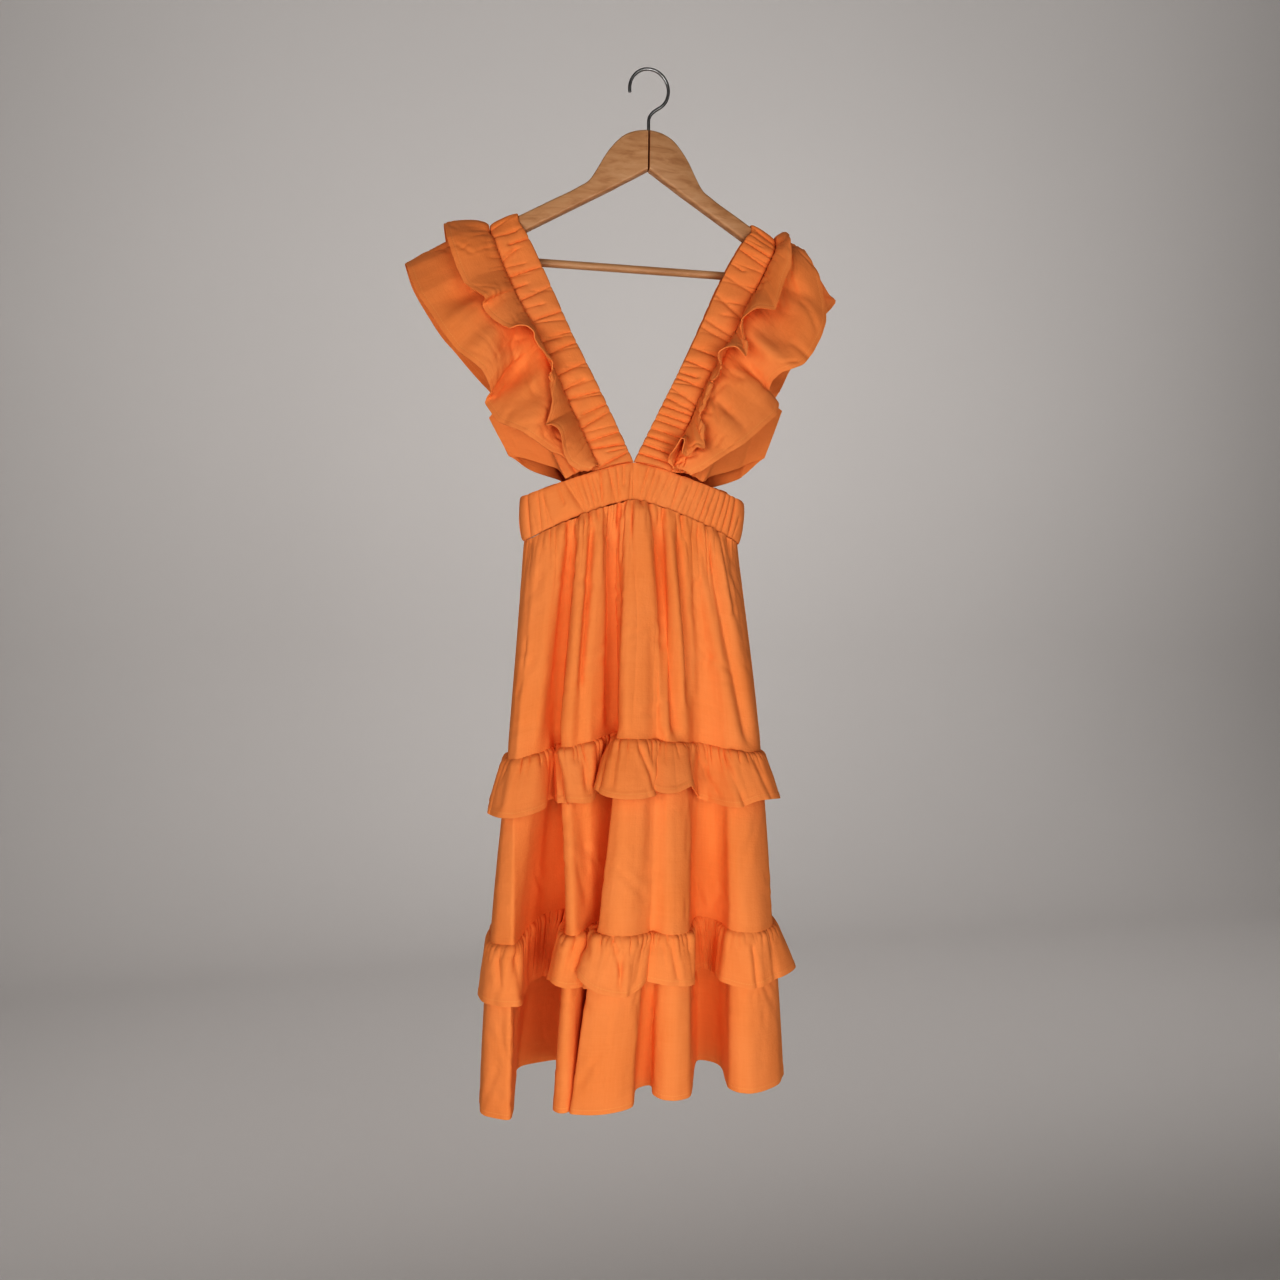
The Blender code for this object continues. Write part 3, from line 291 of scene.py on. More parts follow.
# Bodice sides
BODICE_LEAVES_STRAP = 0.24
BODICE_ON_BAND = {"left": -103 * MM, "right": 70 * MM}
BODICE_BAND_PART = 0.45
BODICE_FOOT_SPREAD = 0.62
BODICE_FOOT_RISE = {"left": 0.25, "right": 0.5}
BODICE_SAG = 8.0 * MM
FRONT_PANEL_RISE = 6.0 * MM
BACK_PANEL_DROP = 13.0 * MM

# Skirt ruffles on the front: where the foot of the ruffle runs
# Columns: place along the front plan, x, y, z
RUFFLE_FEET = {
    1: (
        (0, -190, -14, -893), (1, -194, -48, -899), (1.7, -182, -72, -898), (2.4, -166, -78, -898),
        (3, -144, -74, -894), (3.4, -126, -58, -891), (4, -128, -34, -888), (5, -111, -30, -885),
        (6, -98, -34, -886), (6.6, -98, -52, -884), (7.1, -98, -72, -881), (8, -85, -80, -882),
        (9, -74, -78, -882), (10, -65, -62, -874), (10.7, -59, -48, -872), (11.6, -61, -56, -868),
        (12.6, -67, -76, -866), (13.2, -60, -92, -872), (14, -39, -100, -874), (15, -16, -100, -874),
        (16, -2, -94, -872), (16.8, -7, -82, -865), (17.4, -1, -84, -867), (18.4, 13, -95, -871),
        (19.6, 26, -96, -870), (20.4, 46, -88, -863), (21.2, 48, -66, -867), (22.2, 63, -48, -888),
        (23.4, 79, -52, -892), (24.8, 96, -72, -894), (26, 112, -82, -894), (26.6, 118, -76, -893),
        (27.2, 134, -76, -888), (28, 149, -74, -887), (29.2, 172, -52, -892), (30, 176, -14, -894),
    ),
    2: (
        (0, -202, -28, -1122), (0.8, -205, -50, -1124), (1.4, -196, -78, -1122), (2.2, -178, -92, -1120),
        (2.9, -157, -90, -1122), (3.4, -157, -62, -1128), (4.2, -146, -14, -1126), (5, -128, -6, -1124),
        (6, -113, -10, -1122), (6.5, -118, -50, -1111), (7, -120, -84, -1096), (7.8, -109, -94, -1101),
        (8.6, -93, -96, -1102), (9.4, -78, -84, -1101), (10.4, -72, -68, -1096), (11.4, -64, -60, -1090),
        (12.2, -62, -60, -1088), (12.8, -90, -96, -1081), (13.2, -88, -108, -1088),
        (13.7, -74, -118, -1098), (14.3, -56, -122, -1103), (15, -39, -116, -1106),
        (15.8, -27, -102, -1102), (16.8, -10, -96, -1092), (17.8, -8, -108, -1094), (19.2, 18, -112, -1099),
        (20.6, 45, -104, -1105), (21.4, 54, -70, -1106), (22.6, 74, -46, -1109), (24, 90, -44, -1115),
        (25, 94, -62, -1114), (25.8, 89, -84, -1111), (26.6, 109, -98, -1115), (27.4, 129, -102, -1117),
        (28, 145, -92, -1115), (28.8, 170, -84, -1112), (29.4, 197, -60, -1113), (30, 194, -30, -1114),
    ),
}
# Plain creases in the skirt ruffles on the front: x and z at the top and at the foot, width and depth
RUFFLE_CREASES = {
    1: (
        (-168, -835, -182, -890, 3, 2.2), (-107, -838, -104, -886, 3, 1.8), (-77, -816, -81, -867, 3, 1.8),
        (-41, -813, -50, -863, 3, 1.8), (-16, -816, -6, -848, 2.6, 2.6), (-6, -845, 0, -875, 2.6, 2.2),
        (64, -837, 93, -888, 3, 1.5), (98, -833, 116, -893, 3, 2.2), (135, -839, 154, -891, 3, 2.2),
    ),
    2: (
        (-183, -1064, -180, -1103, 3, 2.4), (-167, -1062, -157, -1122, 3, 2.4),
        (-94, -1039, -104, -1087, 3, 1.8), (-75, -1029, -78, -1062, 3, 2.4),
        (-52, -1036, -42, -1081, 3, 2.4), (-40, -1052, -46, -1095, 3, 1.6), (18, -1042, 28, -1093, 3, 1.8),
        (95, -1048, 87, -1107, 3, 2), (127, -1062, 131, -1120, 3, 2.6),
    ),
}
FOOT_CLEARANCE = 6.0 * MM
HEAD_SPACING = 8.0 * MM
HEAD_PUFF = 6.2 * MM
FOLD_SPACING = 9.5 * MM
FOLD_PUFF = 2.6 * MM
RUFFLE_SHARE = 0.27
RUFFLE_CLEAR = 1.2 * MM
BACK_RUFFLE_DROP = 63.0 * MM
BACK_RUFFLE_OUT = 17.0 * MM
BACK_RUFFLE_SIDES = {1: (15.0 * MM, 15.0 * MM), 2: (5.0 * MM, 21.0 * MM)}

# Which way each face of the dress points, and where the peak of its waist is
FACES = {-1: "front", 1: "back"}
PEAKS = {-1: FRONT_PEAK, 1: BACK_PEAK}
SIGNS = {"left": -1, "right": 1}

# How finely each form is divided, at the front and at the back where they differ
SKIRT_ROWS = {-1: {"top": 66, "mid": 38, "low": 40}, 1: {"top": 40, "mid": 24, "low": 28}}
SKIRT_COLUMNS = {-1: 430, 1: 230}
RUFFLE_COLUMNS = {-1: 640, 1: 340}
BAND_COLUMNS = {-1: 540, 1: 400}
BAND_ROWS = 28
STRAP_COUNTS = (340, 120)
STRAP_ROWS = 24
BACK_STATIONS = 84
BODICE_ROWS = 36
BODICE_COLUMNS = 56

# The cloth's surface
PATCH_ROWS = 97
PATCH_COLUMNS = 89
# How creases and pinches fade out: over which part of their length, and how much is left at the very end
CREASE_FADE = (0.22, 0.35)
PINCH_FADE = (0.25, 0.6)
# The puff beside a crease, in widths and in depths of the crease
PUFF_ASIDE = 2.1
PUFF_WIDTH = 1.2
PUFF_SHARE = 0.5
SHARP_CLOTH = math.radians(55)
SHARP_ROD = math.radians(50)
PINCHED = 0.7 * MM
PLAIN_PINCH = 2.3 * MM
BAND_PINCH_RANGE = (-148.0, 124)
STRAP_PINCH = 1.7 * MM
STRAP_SCALLOP = 1.1 * MM
# Uneven waves: height, width and reach down
SKIRT_WAVES = {
    -1: ((1.3 * MM, 0.030, 0.13), (0.7 * MM, 0.013, 0.06)),
    1: ((2.2 * MM, 0.030, 0.13), (0.7 * MM, 0.013, 0.06)),
}
RUFFLE_WAVES = ((2.2 * MM, 0.017, 0.12), (0.7 * MM, 0.012, 0.03))
CRUMPLE_DEPTH = 1.6
GATHERS_START = 4 * MM
CALM_BELOW_BAND = 50 * MM
CALM_AT_SEAM = 20 * MM
SEAM_LIP_REACH = 5 * MM
HEM_TURNING = 0.5 * MM
HEM_DEPTH = 14 * MM
RUFFLE_TURNING = 0.45 * MM
RUFFLE_HEM = 8 * MM
SHOULDER_TURNING = 0.4 * MM
HEAD_REACH = 19 * MM
HEAD_RISE = 2.4 * MM
HEAD_FADE = 15 * MM
LONG_SPACING = 4 * HEAD_SPACING
LONG_REACH = 40 * MM
LONG_PUFF = 2.2 * MM
FOOT_LEVEL = 0.3
FOOT_DIP = 3 * MM
FOOT_WAVE = 5 * MM
BODICE_GATHERS = 1.6 * MM
BODICE_WAVES = 2.0 * MM
# Gathers of the shoulder ruffles: spacing, reach, strength and puff of the fine and of the long ones
SHOULDER_GATHERS = ((8 * MM, 13 * MM, 0.95, 2.8 * MM), (24 * MM, 34 * MM, 0.85, 1.8 * MM))
SHOULDER_RISE = 1.6 * MM
SHOULDER_FADE = 14 * MM
RUFFLE_INSET = 0.004

# Materials: threads per metre across and along them, and each colour ramp's places and colours
FINE_THREADS = (160.0, 2400.0)
SLUBS = (18.0, 420.0)
STITCH_SHARE = 0.66
GROOVE_HALF_WIDTH = 3.2 * STITCH_HALF_WIDTH
LINEN_COLOURS = ((0.36, (0.862, 0.328, 0.120)), (0.50, (0.888, 0.351, 0.137)), (0.66, (0.912, 0.374, 0.155)))
THREAD_COLOUR = (0.92, 0.42, 0.17, 1.0)
WOOD_COLOURS = ((0.3, (0.49, 0.265, 0.135)), (0.5, (0.60, 0.355, 0.20)), (0.72, (0.66, 0.42, 0.255)))

HOOK_SHANK = 12 * MM
BAR_CLEARANCE = 0.6 * MM
ARM_FROM_MIDDLE = 0.1 * MM
# An arm of the hanger: distance along it, and the heights of its top and foot
ARM_ROWS = MM * np.array((
    (0.15, -70, -117), (8, -70.3, -121), (20, -72.5, -127.5), (31, -77.5, -133), (42, -87.5, -139),
    (52, -100, -144), (61, -115, -148.5), (70, -128.5, -153), (85, -138.5, -160.5), (115, -153.5, -175.5),
    (155, -173, -195.5), (185, -187.5, -210.5), (195.4, -193, -216), (196, -193.3, -233), (207, -198.5, -236),
    (216, -205, -233), (221, -213, -226),
))
# Top and foot of each side seam: x, y and z
SIDE_SEAMS = {
    "left": ((-191, 14, -420), (-168, 6, -466)),
    "right": ((184, 14, -396), (160, 6, -458)),
}


def unit(vectors):
    return vectors / (np.linalg.norm(vectors, axis=-1, keepdims=True) + 1e-12)


def smooth(t):
    t = np.clip(t, 0.0, 1.0)
    return t * t * (3 - 2 * t)


def bell(distance):
    return np.exp(-(distance**2))


def in_metres(table):
    """A table as an array, with every column but the first turned from millimetres into metres."""
    rows = np.array(table, float)
    return rows * ([1] + [MM] * (rows.shape[1] - 1))


def hermite(t, first, second, leaving, arriving):
    return (
        first * (2 * t**3 - 3 * t**2 + 1)
        + leaving * (t**3 - 2 * t**2 + t)
        + second * (3 * t**2 - 2 * t**3)
        + arriving * (t**3 - t**2)
    )


def along(stations, values, wanted):
    """A smooth curve through values at rising stations, read at the wanted ones."""
    stations, values, wanted = (np.asarray(item, float) for item in (stations, values, wanted))
    slopes = np.gradient(values, stations, axis=0)
    index = np.clip(np.searchsorted(stations, wanted, side="right") - 1, 0, len(stations) - 2)
    step = stations[index + 1] - stations[index]
    shape = step.shape + (1,) * (values.ndim - 1)
    t = ((wanted - stations[index]) / step).reshape(shape)
    step = step.reshape(shape)
    return hermite(t, values[index], values[index + 1], slopes[index] * step, slopes[index + 1] * step)


def read(wanted, places, line):
    """A line of points read at the wanted places, straight between its own."""
    return np.stack([np.interp(wanted, places, column) for column in line.T], axis=1)


def run_along(line):
    """Distance from a line's first point to each of its points."""
    return np.concatenate([[0], np.cumsum(np.linalg.norm(np.diff(line, axis=0), axis=1))])


def blurred(line, spread):
    """A line of evenly placed points smoothed over spread points, with its ends kept."""
    if spread < 0.5:
        return line
    reach = int(3 * spread) + 1
    weights = np.exp(-0.5 * (np.arange(-reach, reach + 1) / spread) ** 2)
    weights /= weights.sum()
    before = 2 * line[0] - line[reach:0:-1]
    after = 2 * line[-1] - line[-2 : -reach - 2 : -1]
    padded = np.concatenate([before, line, after])
    return np.stack([np.convolve(column, weights, "valid") for column in padded.T], axis=1)


def patches(x, y, seed):
    """Smooth uneven values between -1 and 1, about one hill or hollow per unit."""
    values = np.random.default_rng(seed).uniform(-1, 1, (PATCH_ROWS, PATCH_COLUMNS))
    x, y = np.broadcast_arrays(np.asarray(x, float), np.asarray(y, float))
    left, low = np.floor(x).astype(int), np.floor(y).astype(int)
    across, up = smooth(x - left), smooth(y - low)
    right, high = (left + 1) % PATCH_ROWS, (low + 1) % PATCH_COLUMNS
    left, low = left % PATCH_ROWS, low % PATCH_COLUMNS
    a, b, c, d = values[left, low], values[right, low], values[left, high], values[right, high]
    return (a * (1 - across) + b * across) * (1 - up) + (c * (1 - across) + d * across) * up


def grid_directions(grid, axis):
    """The way a grid of points runs along one axis, halfway between the steps beside each point."""
    steps = unit(np.diff(np.moveaxis(grid, axis, 0), axis=0))
    return np.moveaxis(np.concatenate([steps[:1], steps[:-1] + steps[1:], steps[-1:]]), 0, axis)


def grid_normals(grid, hint):
    """Unit normals of a grid of points, on the side that hint points to.

    A hint that points up is read at the first row's middle, any other over the whole first row.
    """
    normals = unit(np.cross(grid_directions(grid, 1), grid_directions(grid, 0)))
    chosen = normals[0, grid.shape[1] // 2] if hint[2] else normals[0].sum(axis=0)
    return -normals if np.dot(chosen, hint) < 0 else normals


def beside(across, down, line, fade):
    """How many of a line's widths a place is aside of it, and how much of the line is left there.

    A line is across and down at its start, across and down at its end, its width and its strength.
    """
    a0, d0, a1, d1, width, _ = line
    run_a, run_d = a1 - a0, d1 - d0
    length = math.hypot(run_a, run_d)
    part = ((across - a0) * run_a + (down - d0) * run_d) / length**2
    aside = np.abs((across - a0) * run_d - (down - d0) * run_a) / (length * width)
    reach, spare = fade
    return aside, smooth(part / reach + spare) * smooth((1 - part) / reach + spare)


def crease_field(across, down, lines):
    """Height of the cloth, below 0 in creases and above 0 in the puffs beside them."""
    height = np.zeros(np.broadcast(across, down).shape)
    for line in lines:
        aside, left = beside(across, down, line, CREASE_FADE)
        height += line[5] * left * (PUFF_SHARE * bell((aside - PUFF_ASIDE) / PUFF_WIDTH) - bell(aside))
    return height


def puffed(across, down, lines):
    """How far the cloth puffs out between sharp pinches, 0 on a pinch and 1 away from all of them."""
    puff = np.ones(np.broadcast(across, down).shape)
    for line in lines:
        aside, left = beside(across, down, line, PINCH_FADE)
        puff *= 1 - line[5] * left * np.exp(-aside)
    return puff


def mesh_object(name, points, faces, finish, layers=None):
    mesh = bpy.data.meshes.new(name)
    corners = np.asarray(faces, np.int32)
    mesh.vertices.add(len(points))
    mesh.vertices.foreach_set("co", np.asarray(points, np.float32).reshape(-1))
    mesh.loops.add(corners.size)
    mesh.loops.foreach_set("vertex_index", corners.reshape(-1))
    mesh.polygons.add(len(corners))
    mesh.polygons.foreach_set("loop_start", np.arange(len(corners), dtype=np.int32) * corners.shape[1])
    mesh.update(calc_edges=True)
    for layer, uv in (layers or {}).items():
        values = np.asarray(uv, np.float32)[corners.reshape(-1)]
        mesh.uv_layers.new(name=layer).data.foreach_set("uv", values.reshape(-1))
    mesh.materials.append(finish)
    mesh.shade_smooth()
    obj = bpy.data.objects.new(name, mesh)
    bpy.context.scene.collection.objects.link(obj)
    return obj


def ride(obj, part):
    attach(obj, "root")
    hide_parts(part)


def lengths(grid, axis):
    """Distance along one axis of a grid, as the mean over its lines."""
    steps = np.linalg.norm(np.diff(grid, axis=axis), axis=-1)
    return np.concatenate([[0], np.cumsum(steps.mean(axis=1 - axis))])


def shell(name, part, inner, outer, hemmed=False):
    """A closed shell of linen between two grids of points, with the cloth's own threads as its uv, in metres.

    A second uv holds the place along the last row and the distance up from it, for the stitches of a hem.
    """
    rows, columns = inner.shape[:2]
    count = rows * columns
    points = np.concatenate([inner.reshape(-1, 3), outer.reshape(-1, 3)])
    place = np.arange(count).reshape(rows, columns)
    a, b, c, d = place[:-1, :-1], place[:-1, 1:], place[1:, 1:], place[1:, :-1]
    low = np.stack([a, b, c, d], axis=-1).reshape(-1, 4)
    high = np.stack([a, d, c, b], axis=-1).reshape(-1, 4) + count
    rim = np.concatenate([place[0, :-1], place[:-1, -1], place[-1, :0:-1], place[:0:-1, 0]])
    after = np.roll(rim, -1)
    faces = np.concatenate([low, high, np.stack([rim, rim + count, after + count, after], axis=1)])
    facing = np.cross(outer[0, 1] - outer[0, 0], outer[1, 0] - outer[0, 0])
    if np.dot(facing, (outer - inner)[0, 0]) > 0:
        faces = faces[:, ::-1]
    across, down = lengths(inner, 1), lengths(inner, 0)
    steps = np.linalg.norm(np.diff(inner, axis=0), axis=-1)
    up = np.concatenate([np.cumsum(steps[::-1], axis=0)[::-1], np.zeros((1, columns))])
    pairs = {"cloth": (across, -down[:, None]), "hem": (across, up if hemmed else np.ones_like(up))}
    layers = {}
    for key, pair in pairs.items():
        uv = np.stack(np.broadcast_arrays(*pair), axis=-1).reshape(-1, 2)
        layers[key] = np.concatenate([uv, uv])
    obj = mesh_object(name, points, faces, LINEN, layers)
    obj.data.set_sharp_from_angle(angle=SHARP_CLOTH)
    ride(obj, part)


def cloth(name, part, grid, hint, height, thickness=CLOTH, hemmed=True):
    """A thin shell on a grid of points, with its folds and creases raised by height."""
    grid = grid + grid_normals(grid, hint) * height[..., None]
    thickness = np.broadcast_to(thickness, grid.shape[:2])[..., None]
    shell(name, part, grid, grid + grid_normals(grid, hint) * thickness, hemmed)


def lapped(grid):
    """A grid whose first and last columns reach a little past the side seams."""
    made = grid.copy()
    made[:, 0] -= unit(grid[:, 1] - grid[:, 0]) * SEAM_LAP
    made[:, -1] -= unit(grid[:, -2] - grid[:, -1]) * SEAM_LAP
    return made


# Materials


def fill(tree, made, inputs):
    """Sets each input of a shader node, or links it where the value is another node's output."""
    for name, value in inputs.items():
        socket = made.inputs[name.replace("_", " ") if isinstance(name, str) else name]
        if isinstance(value, bpy.types.NodeSocket):
            tree.links.new(value, socket)
        else:
            socket.default_value = value


def node(tree, kind, output, settings=None, **inputs):
    """One output of a new shader node, with its settings made and its inputs filled."""
    made = tree.nodes.new("ShaderNode" + kind)
    for name, value in (settings or {}).items():
        setattr(made, name, value)
    fill(tree, made, inputs)
    return made.outputs[output]


def reckoned(tree, operation, *values):
    result = node(tree, "Math", "Value", {"operation": operation})
    fill(tree, result.node, dict(enumerate(values)))
    return result


def ramp(tree, factor, *stops):
    made = node(tree, "ValToRGB", "Color", Fac=factor)
    elements = made.node.color_ramp.elements
    while len(elements) < len(stops):
        elements.new(0.5)
    for element, (position, colour) in zip(elements, stops):
        element.position = position
        element.color = (*colour, 1.0)
    return made


def noise(tree, place, scale, detail, rough=0.5, **others):
    return node(tree, "TexNoise", "Fac", Vector=place, Scale=scale, Detail=detail, Roughness=rough, **others)


def bumped(tree, layers):
    """The normal after a stack of bumps, each with its strength, distance and height."""
    normal = {}
    for strength, distance, height in layers:
        made = node(tree, "Bump", "Normal", Strength=strength, Distance=distance, Height=height, **normal)
        normal = {"Normal": made}
    return made


def material(name, **inputs):
    made = bpy.data.materials.new(name)
    made.use_nodes = True
    shader = made.node_tree.nodes["Principled BSDF"]
    fill(made.node_tree, shader, inputs)
    return made, made.node_tree, shader


def hem_stitches(tree):
    """The height round a hem's stitch line, and where its stitches are."""
    place = node(tree, "UVMap", "UV", {"uv_map": "hem"})
    run = node(tree, "SeparateXYZ", "X", Vector=place)
    aside = reckoned(tree, "ABSOLUTE", reckoned(tree, "SUBTRACT", run.node.outputs["Y"], STITCH_FROM_EDGE))
    line = reckoned(tree, "LESS_THAN", aside, STITCH_HALF_WIDTH)
    beat = reckoned(tree, "FRACT", reckoned(tree, "DIVIDE", run, STITCH_PITCH))
    stitch = reckoned(tree, "MULTIPLY", line, reckoned(tree, "LESS_THAN", beat, STITCH_SHARE))
    near = reckoned(tree, "MINIMUM", reckoned(tree, "DIVIDE", aside, GROOVE_HALF_WIDTH), 1.0)
    return reckoned(tree, "MULTIPLY_ADD", stitch, 0.6, near), stitch


def linen(name):
    """Slubbed plain-weave linen, read along the cloth's own threads."""
    made, tree, shader = material(
        name,
        Roughness=0.86,
        Specular_IOR_Level=0.2,
        Sheen_Weight=0.1,
        Sheen_Roughness=0.5,
        Sheen_Tint=(1.0, 0.62, 0.36, 1.0),
    )
    place = node(tree, "UVMap", "UV", {"uv_map": "cloth"})
    threads = []
    streaks = []
    for turn in (1, -1):
        fine = node(tree, "Mapping", "Vector", Vector=place, Scale=(*FINE_THREADS[::turn], 1.0))
        threads.append(noise(tree, fine, 0.5, 2.0, 0.55))
        slubs = node(tree, "Mapping", "Vector", Vector=place, Scale=(*SLUBS[::turn], 1.0))
        streaks.append(noise(tree, slubs, 1.0, 3.0, 0.6))
    weave = reckoned(tree, "ADD", *threads)
    streak = reckoned(tree, "ADD", *streaks)
    mixed = reckoned(tree, "MULTIPLY_ADD", noise(tree, place, 7.0, 3.0), 3.0, streak)
    shade = ramp(tree, reckoned(tree, "MULTIPLY", mixed, 1 / 5), *LINEN_COLOURS)
    groove, stitch = hem_stitches(tree)
    colour = node(tree, "Mix", 2, {"data_type": "RGBA", "blend_type": "MIX"})
    fill(tree, colour.node, {0: stitch, 6: shade, 7: THREAD_COLOUR})
    crumple = noise(tree, place, 48.0, 4.0)
    layers = ((0.7, 0.0022, crumple), (0.08, 0.0003, streak), (0.5, 0.0003, weave), (0.45, 0.0003, groove))
    fill(tree, shader, {"Base Color": colour, "Normal": bumped(tree, layers)})
    return made


def wood(name):
    made, tree, shader = material(name, Roughness=0.42, Coat_Weight=0.15, Coat_Roughness=0.3)
    place = node(tree, "TexCoord", "Object")
    turn = (0.0, math.radians(4), 0.0)
    spread = node(tree, "Mapping", "Vector", Vector=place, Scale=(9.0, 60.0, 60.0), Rotation=turn)
    shade = ramp(tree, noise(tree, spread, 2.2, 6.0, 0.6, Distortion=0.5), *WOOD_COLOURS)
    pores = noise(tree, spread, 14.0, 3.0, 0.7)
    fill(tree, shader, {"Base Color": shade, "Normal": bumped(tree, ((0.25, 0.0004, pores),))})
    return made


def steel(name):
    made, tree, shader = material(name, Metallic=1.0)
    dull = noise(tree, node(tree, "TexCoord", "Object"), 180.0, 4.0, 0.6)
    shade = ramp(tree, dull, (0.3, (0.36, 0.36, 0.36)), (0.75, (0.52, 0.52, 0.53)))
    rough = ramp(tree, dull, (0.3, (0.28, 0.28, 0.28)), (0.75, (0.42, 0.42, 0.42)))
    fill(tree, shader, {"Base Color": shade, "Roughness": rough})
    return made


def paper(name, colour):
    made, tree, shader = material(name, Roughness=0.9)
    cloud = noise(tree, node(tree, "TexCoord", "Object"), 0.8, 2.0)
    dark = tuple(value * 0.985 for value in colour)
    fill(tree, shader, {"Base Color": ramp(tree, cloud, (0.3, dark), (0.7, colour))})
    return made


LINEN = linen("orange_linen")
WOOD = wood("oiled_wood")
STEEL = steel("steel_wire")


# Hanger


def arm_y(x):
    return abs(x) * math.tan(ARM_SWEEP)


def arm_top(x):
    return float(np.interp(abs(x) / math.cos(ARM_SWEEP), ARM_ROWS[:, 0], ARM_ROWS[:, 1]))


def oval_ring(half_thick, half_high, corner, steps):
    """Points round a rounded rectangle, across and up."""
    cut = min(corner, 0.48 * half_high)
    points = []
    for quarter, (side, up) in enumerate(((1, 1), (-1, 1), (-1, -1), (1, -1))):
        for step in range(steps):
            angle = math.pi / 2 * (quarter + step / (steps - 1))
            across = side * (half_thick - cut) + cut * math.cos(angle)
            points.append((across, up * (half_high - cut) + cut * math.sin(angle)))
    return points


def rod(name, part, rings, centres, finish, turned=False):
    """A closed form through rings of points, with a fan of faces round a centre at each end."""
    count, around = rings.shape[:2]
    place = np.arange(count * around).reshape(count, around)
    after = np.roll(place, -1, axis=1)
    faces = [np.stack([place[:-1], after[:-1], after[1:], place[1:]], axis=-1).reshape(-1, 4)]
    for end, ring in enumerate((place[0], place[-1])):
        middle = np.full(around // 2, count * around + end)
        fan = np.stack([ring[0::2], ring[1::2], np.roll(ring, -2)[0::2], middle], axis=1)
        faces.append(fan if end else fan[:, ::-1])
    faces = np.concatenate(faces)
    points = np.concatenate([rings.reshape(-1, 3), centres])
    obj = mesh_object(name, points, faces[:, ::-1] if turned else faces, finish)
    obj.data.set_sharp_from_angle(angle=SHARP_ROD)
    ride(obj, part)


def hanger_arm(side):
    sign = SIGNS[side]
    slim, lobe = ARM_ROWS[:-4], ARM_ROWS[-4:]
    places = (np.linspace(slim[0, 0], slim[-1, 0], 90), lobe[:, 0], np.linspace(lobe[0, 0], lobe[-1, 0], 14))
    rings = []
    for reach in np.unique(np.concatenate(places)):
        rows = slim if reach <= slim[-1, 0] else lobe
        top, foot = along(rows[:, 0], rows[:, 1:], np.array([reach]))[0]
        ring = []
        for across, up in oval_ring(ARM_HALF_THICK, (top - foot) / 2, ARM_EDGE_ROUND, 6):
            x = sign * (reach * math.cos(ARM_SWEEP) - across * math.sin(ARM_SWEEP))
            y = reach * math.sin(ARM_SWEEP) + across * math.cos(ARM_SWEEP)
            ring.append((sign * max(sign * x, ARM_FROM_MIDDLE), y, (top + foot) / 2 + up))
        rings.append(ring)
    rings = np.array(rings)
    centres = rings[[0, -1]].mean(axis=1)
    rod(f"wood_arm_{side}", f"hanger_arm_{side}", rings, centres, WOOD, sign > 0)


def tube(name, part, points, radius, finish, sides):
    """A round rod along points."""
    ways = unit(np.gradient(points, axis=0))
    aside = unit(np.cross(ways, (0.0, 1.0, 0.02)))
    third = np.cross(ways, aside)
    angle = np.linspace(0, 2 * np.pi, sides, endpoint=False)[:, None]
    rings = points[:, None] + radius * (aside[:, None] * np.cos(angle) + third[:, None] * np.sin(angle))
    rod(name, part, rings, points[[0, -1]], finish)


def hanger_bar():
    y = LOBE_START * math.sin(ARM_SWEEP)
    reach = (LOBE_START - BAR_CLEARANCE - SEAM - y * math.sin(ARM_SWEEP)) / math.cos(ARM_SWEEP)
    points = np.column_stack([np.linspace(-reach, reach, 40), np.full(40, y), np.full(40, BAR_HEIGHT)])
    tube("wood_bar", "hanger_bar", points, BAR_RADIUS, WOOD, 24)


def hanger_hook():
    centre = HOOK_WIRE - HOOK_RADIUS
    angle = np.linspace(HOOK_TIP_ANGLE, HOOK_TURN_ANGLE, 80)
    bow = np.column_stack([HOOK_RADIUS * np.cos(angle), np.zeros(80), centre + HOOK_RADIUS * np.sin(angle)])
    t = np.linspace(0, 1, 26)[1:]
    shank_top = WOOD_TOP + HOOK_SHANK
    neck_x = bow[-1, 0] * (1 - (1 - (1 - t) ** 2))
    neck = np.column_stack([neck_x, np.zeros(25), bow[-1, 2] + (shank_top - bow[-1, 2]) * t])
    foot = np.column_stack([np.zeros(8), np.zeros(8), np.linspace(shank_top, WOOD_TOP + SEAM, 9)[1:]])
    tube("steel_hook", "hanger_hook", np.concatenate([bow, neck, foot]), HOOK_WIRE, STEEL, 20)


# Waistband


def fall_from_peak(x, peak, left, right):
    """0 at the peak, rising to 1 at the left or the right side."""
    x = np.asarray(x, float)
    return np.where(x < peak, (peak - x) / (peak - left), (x - peak) / (right - peak)).clip(0, 1)


def band_heights(x, peak):
    """Top and foot of the waistband at x."""
    fall = fall_from_peak(x, peak, WAIST_CENTRE - WAIST_HALF_WIDTH, WAIST_CENTRE + WAIST_HALF_WIDTH)
    return BAND_TOP_PEAK - BAND_TOP_FALL * fall**1.25, BAND_FOOT_PEAK - BAND_FOOT_FALL * fall**1.35


def waist_y(x, half_width=WAIST_HALF_WIDTH):
    part = np.abs((np.asarray(x, float) - WAIST_CENTRE) / half_width).clip(0, 1)
    return WAIST_HALF_DEPTH * (1 - part**WAIST_SQUARENESS) ** (1 / WAIST_SQUARENESS)


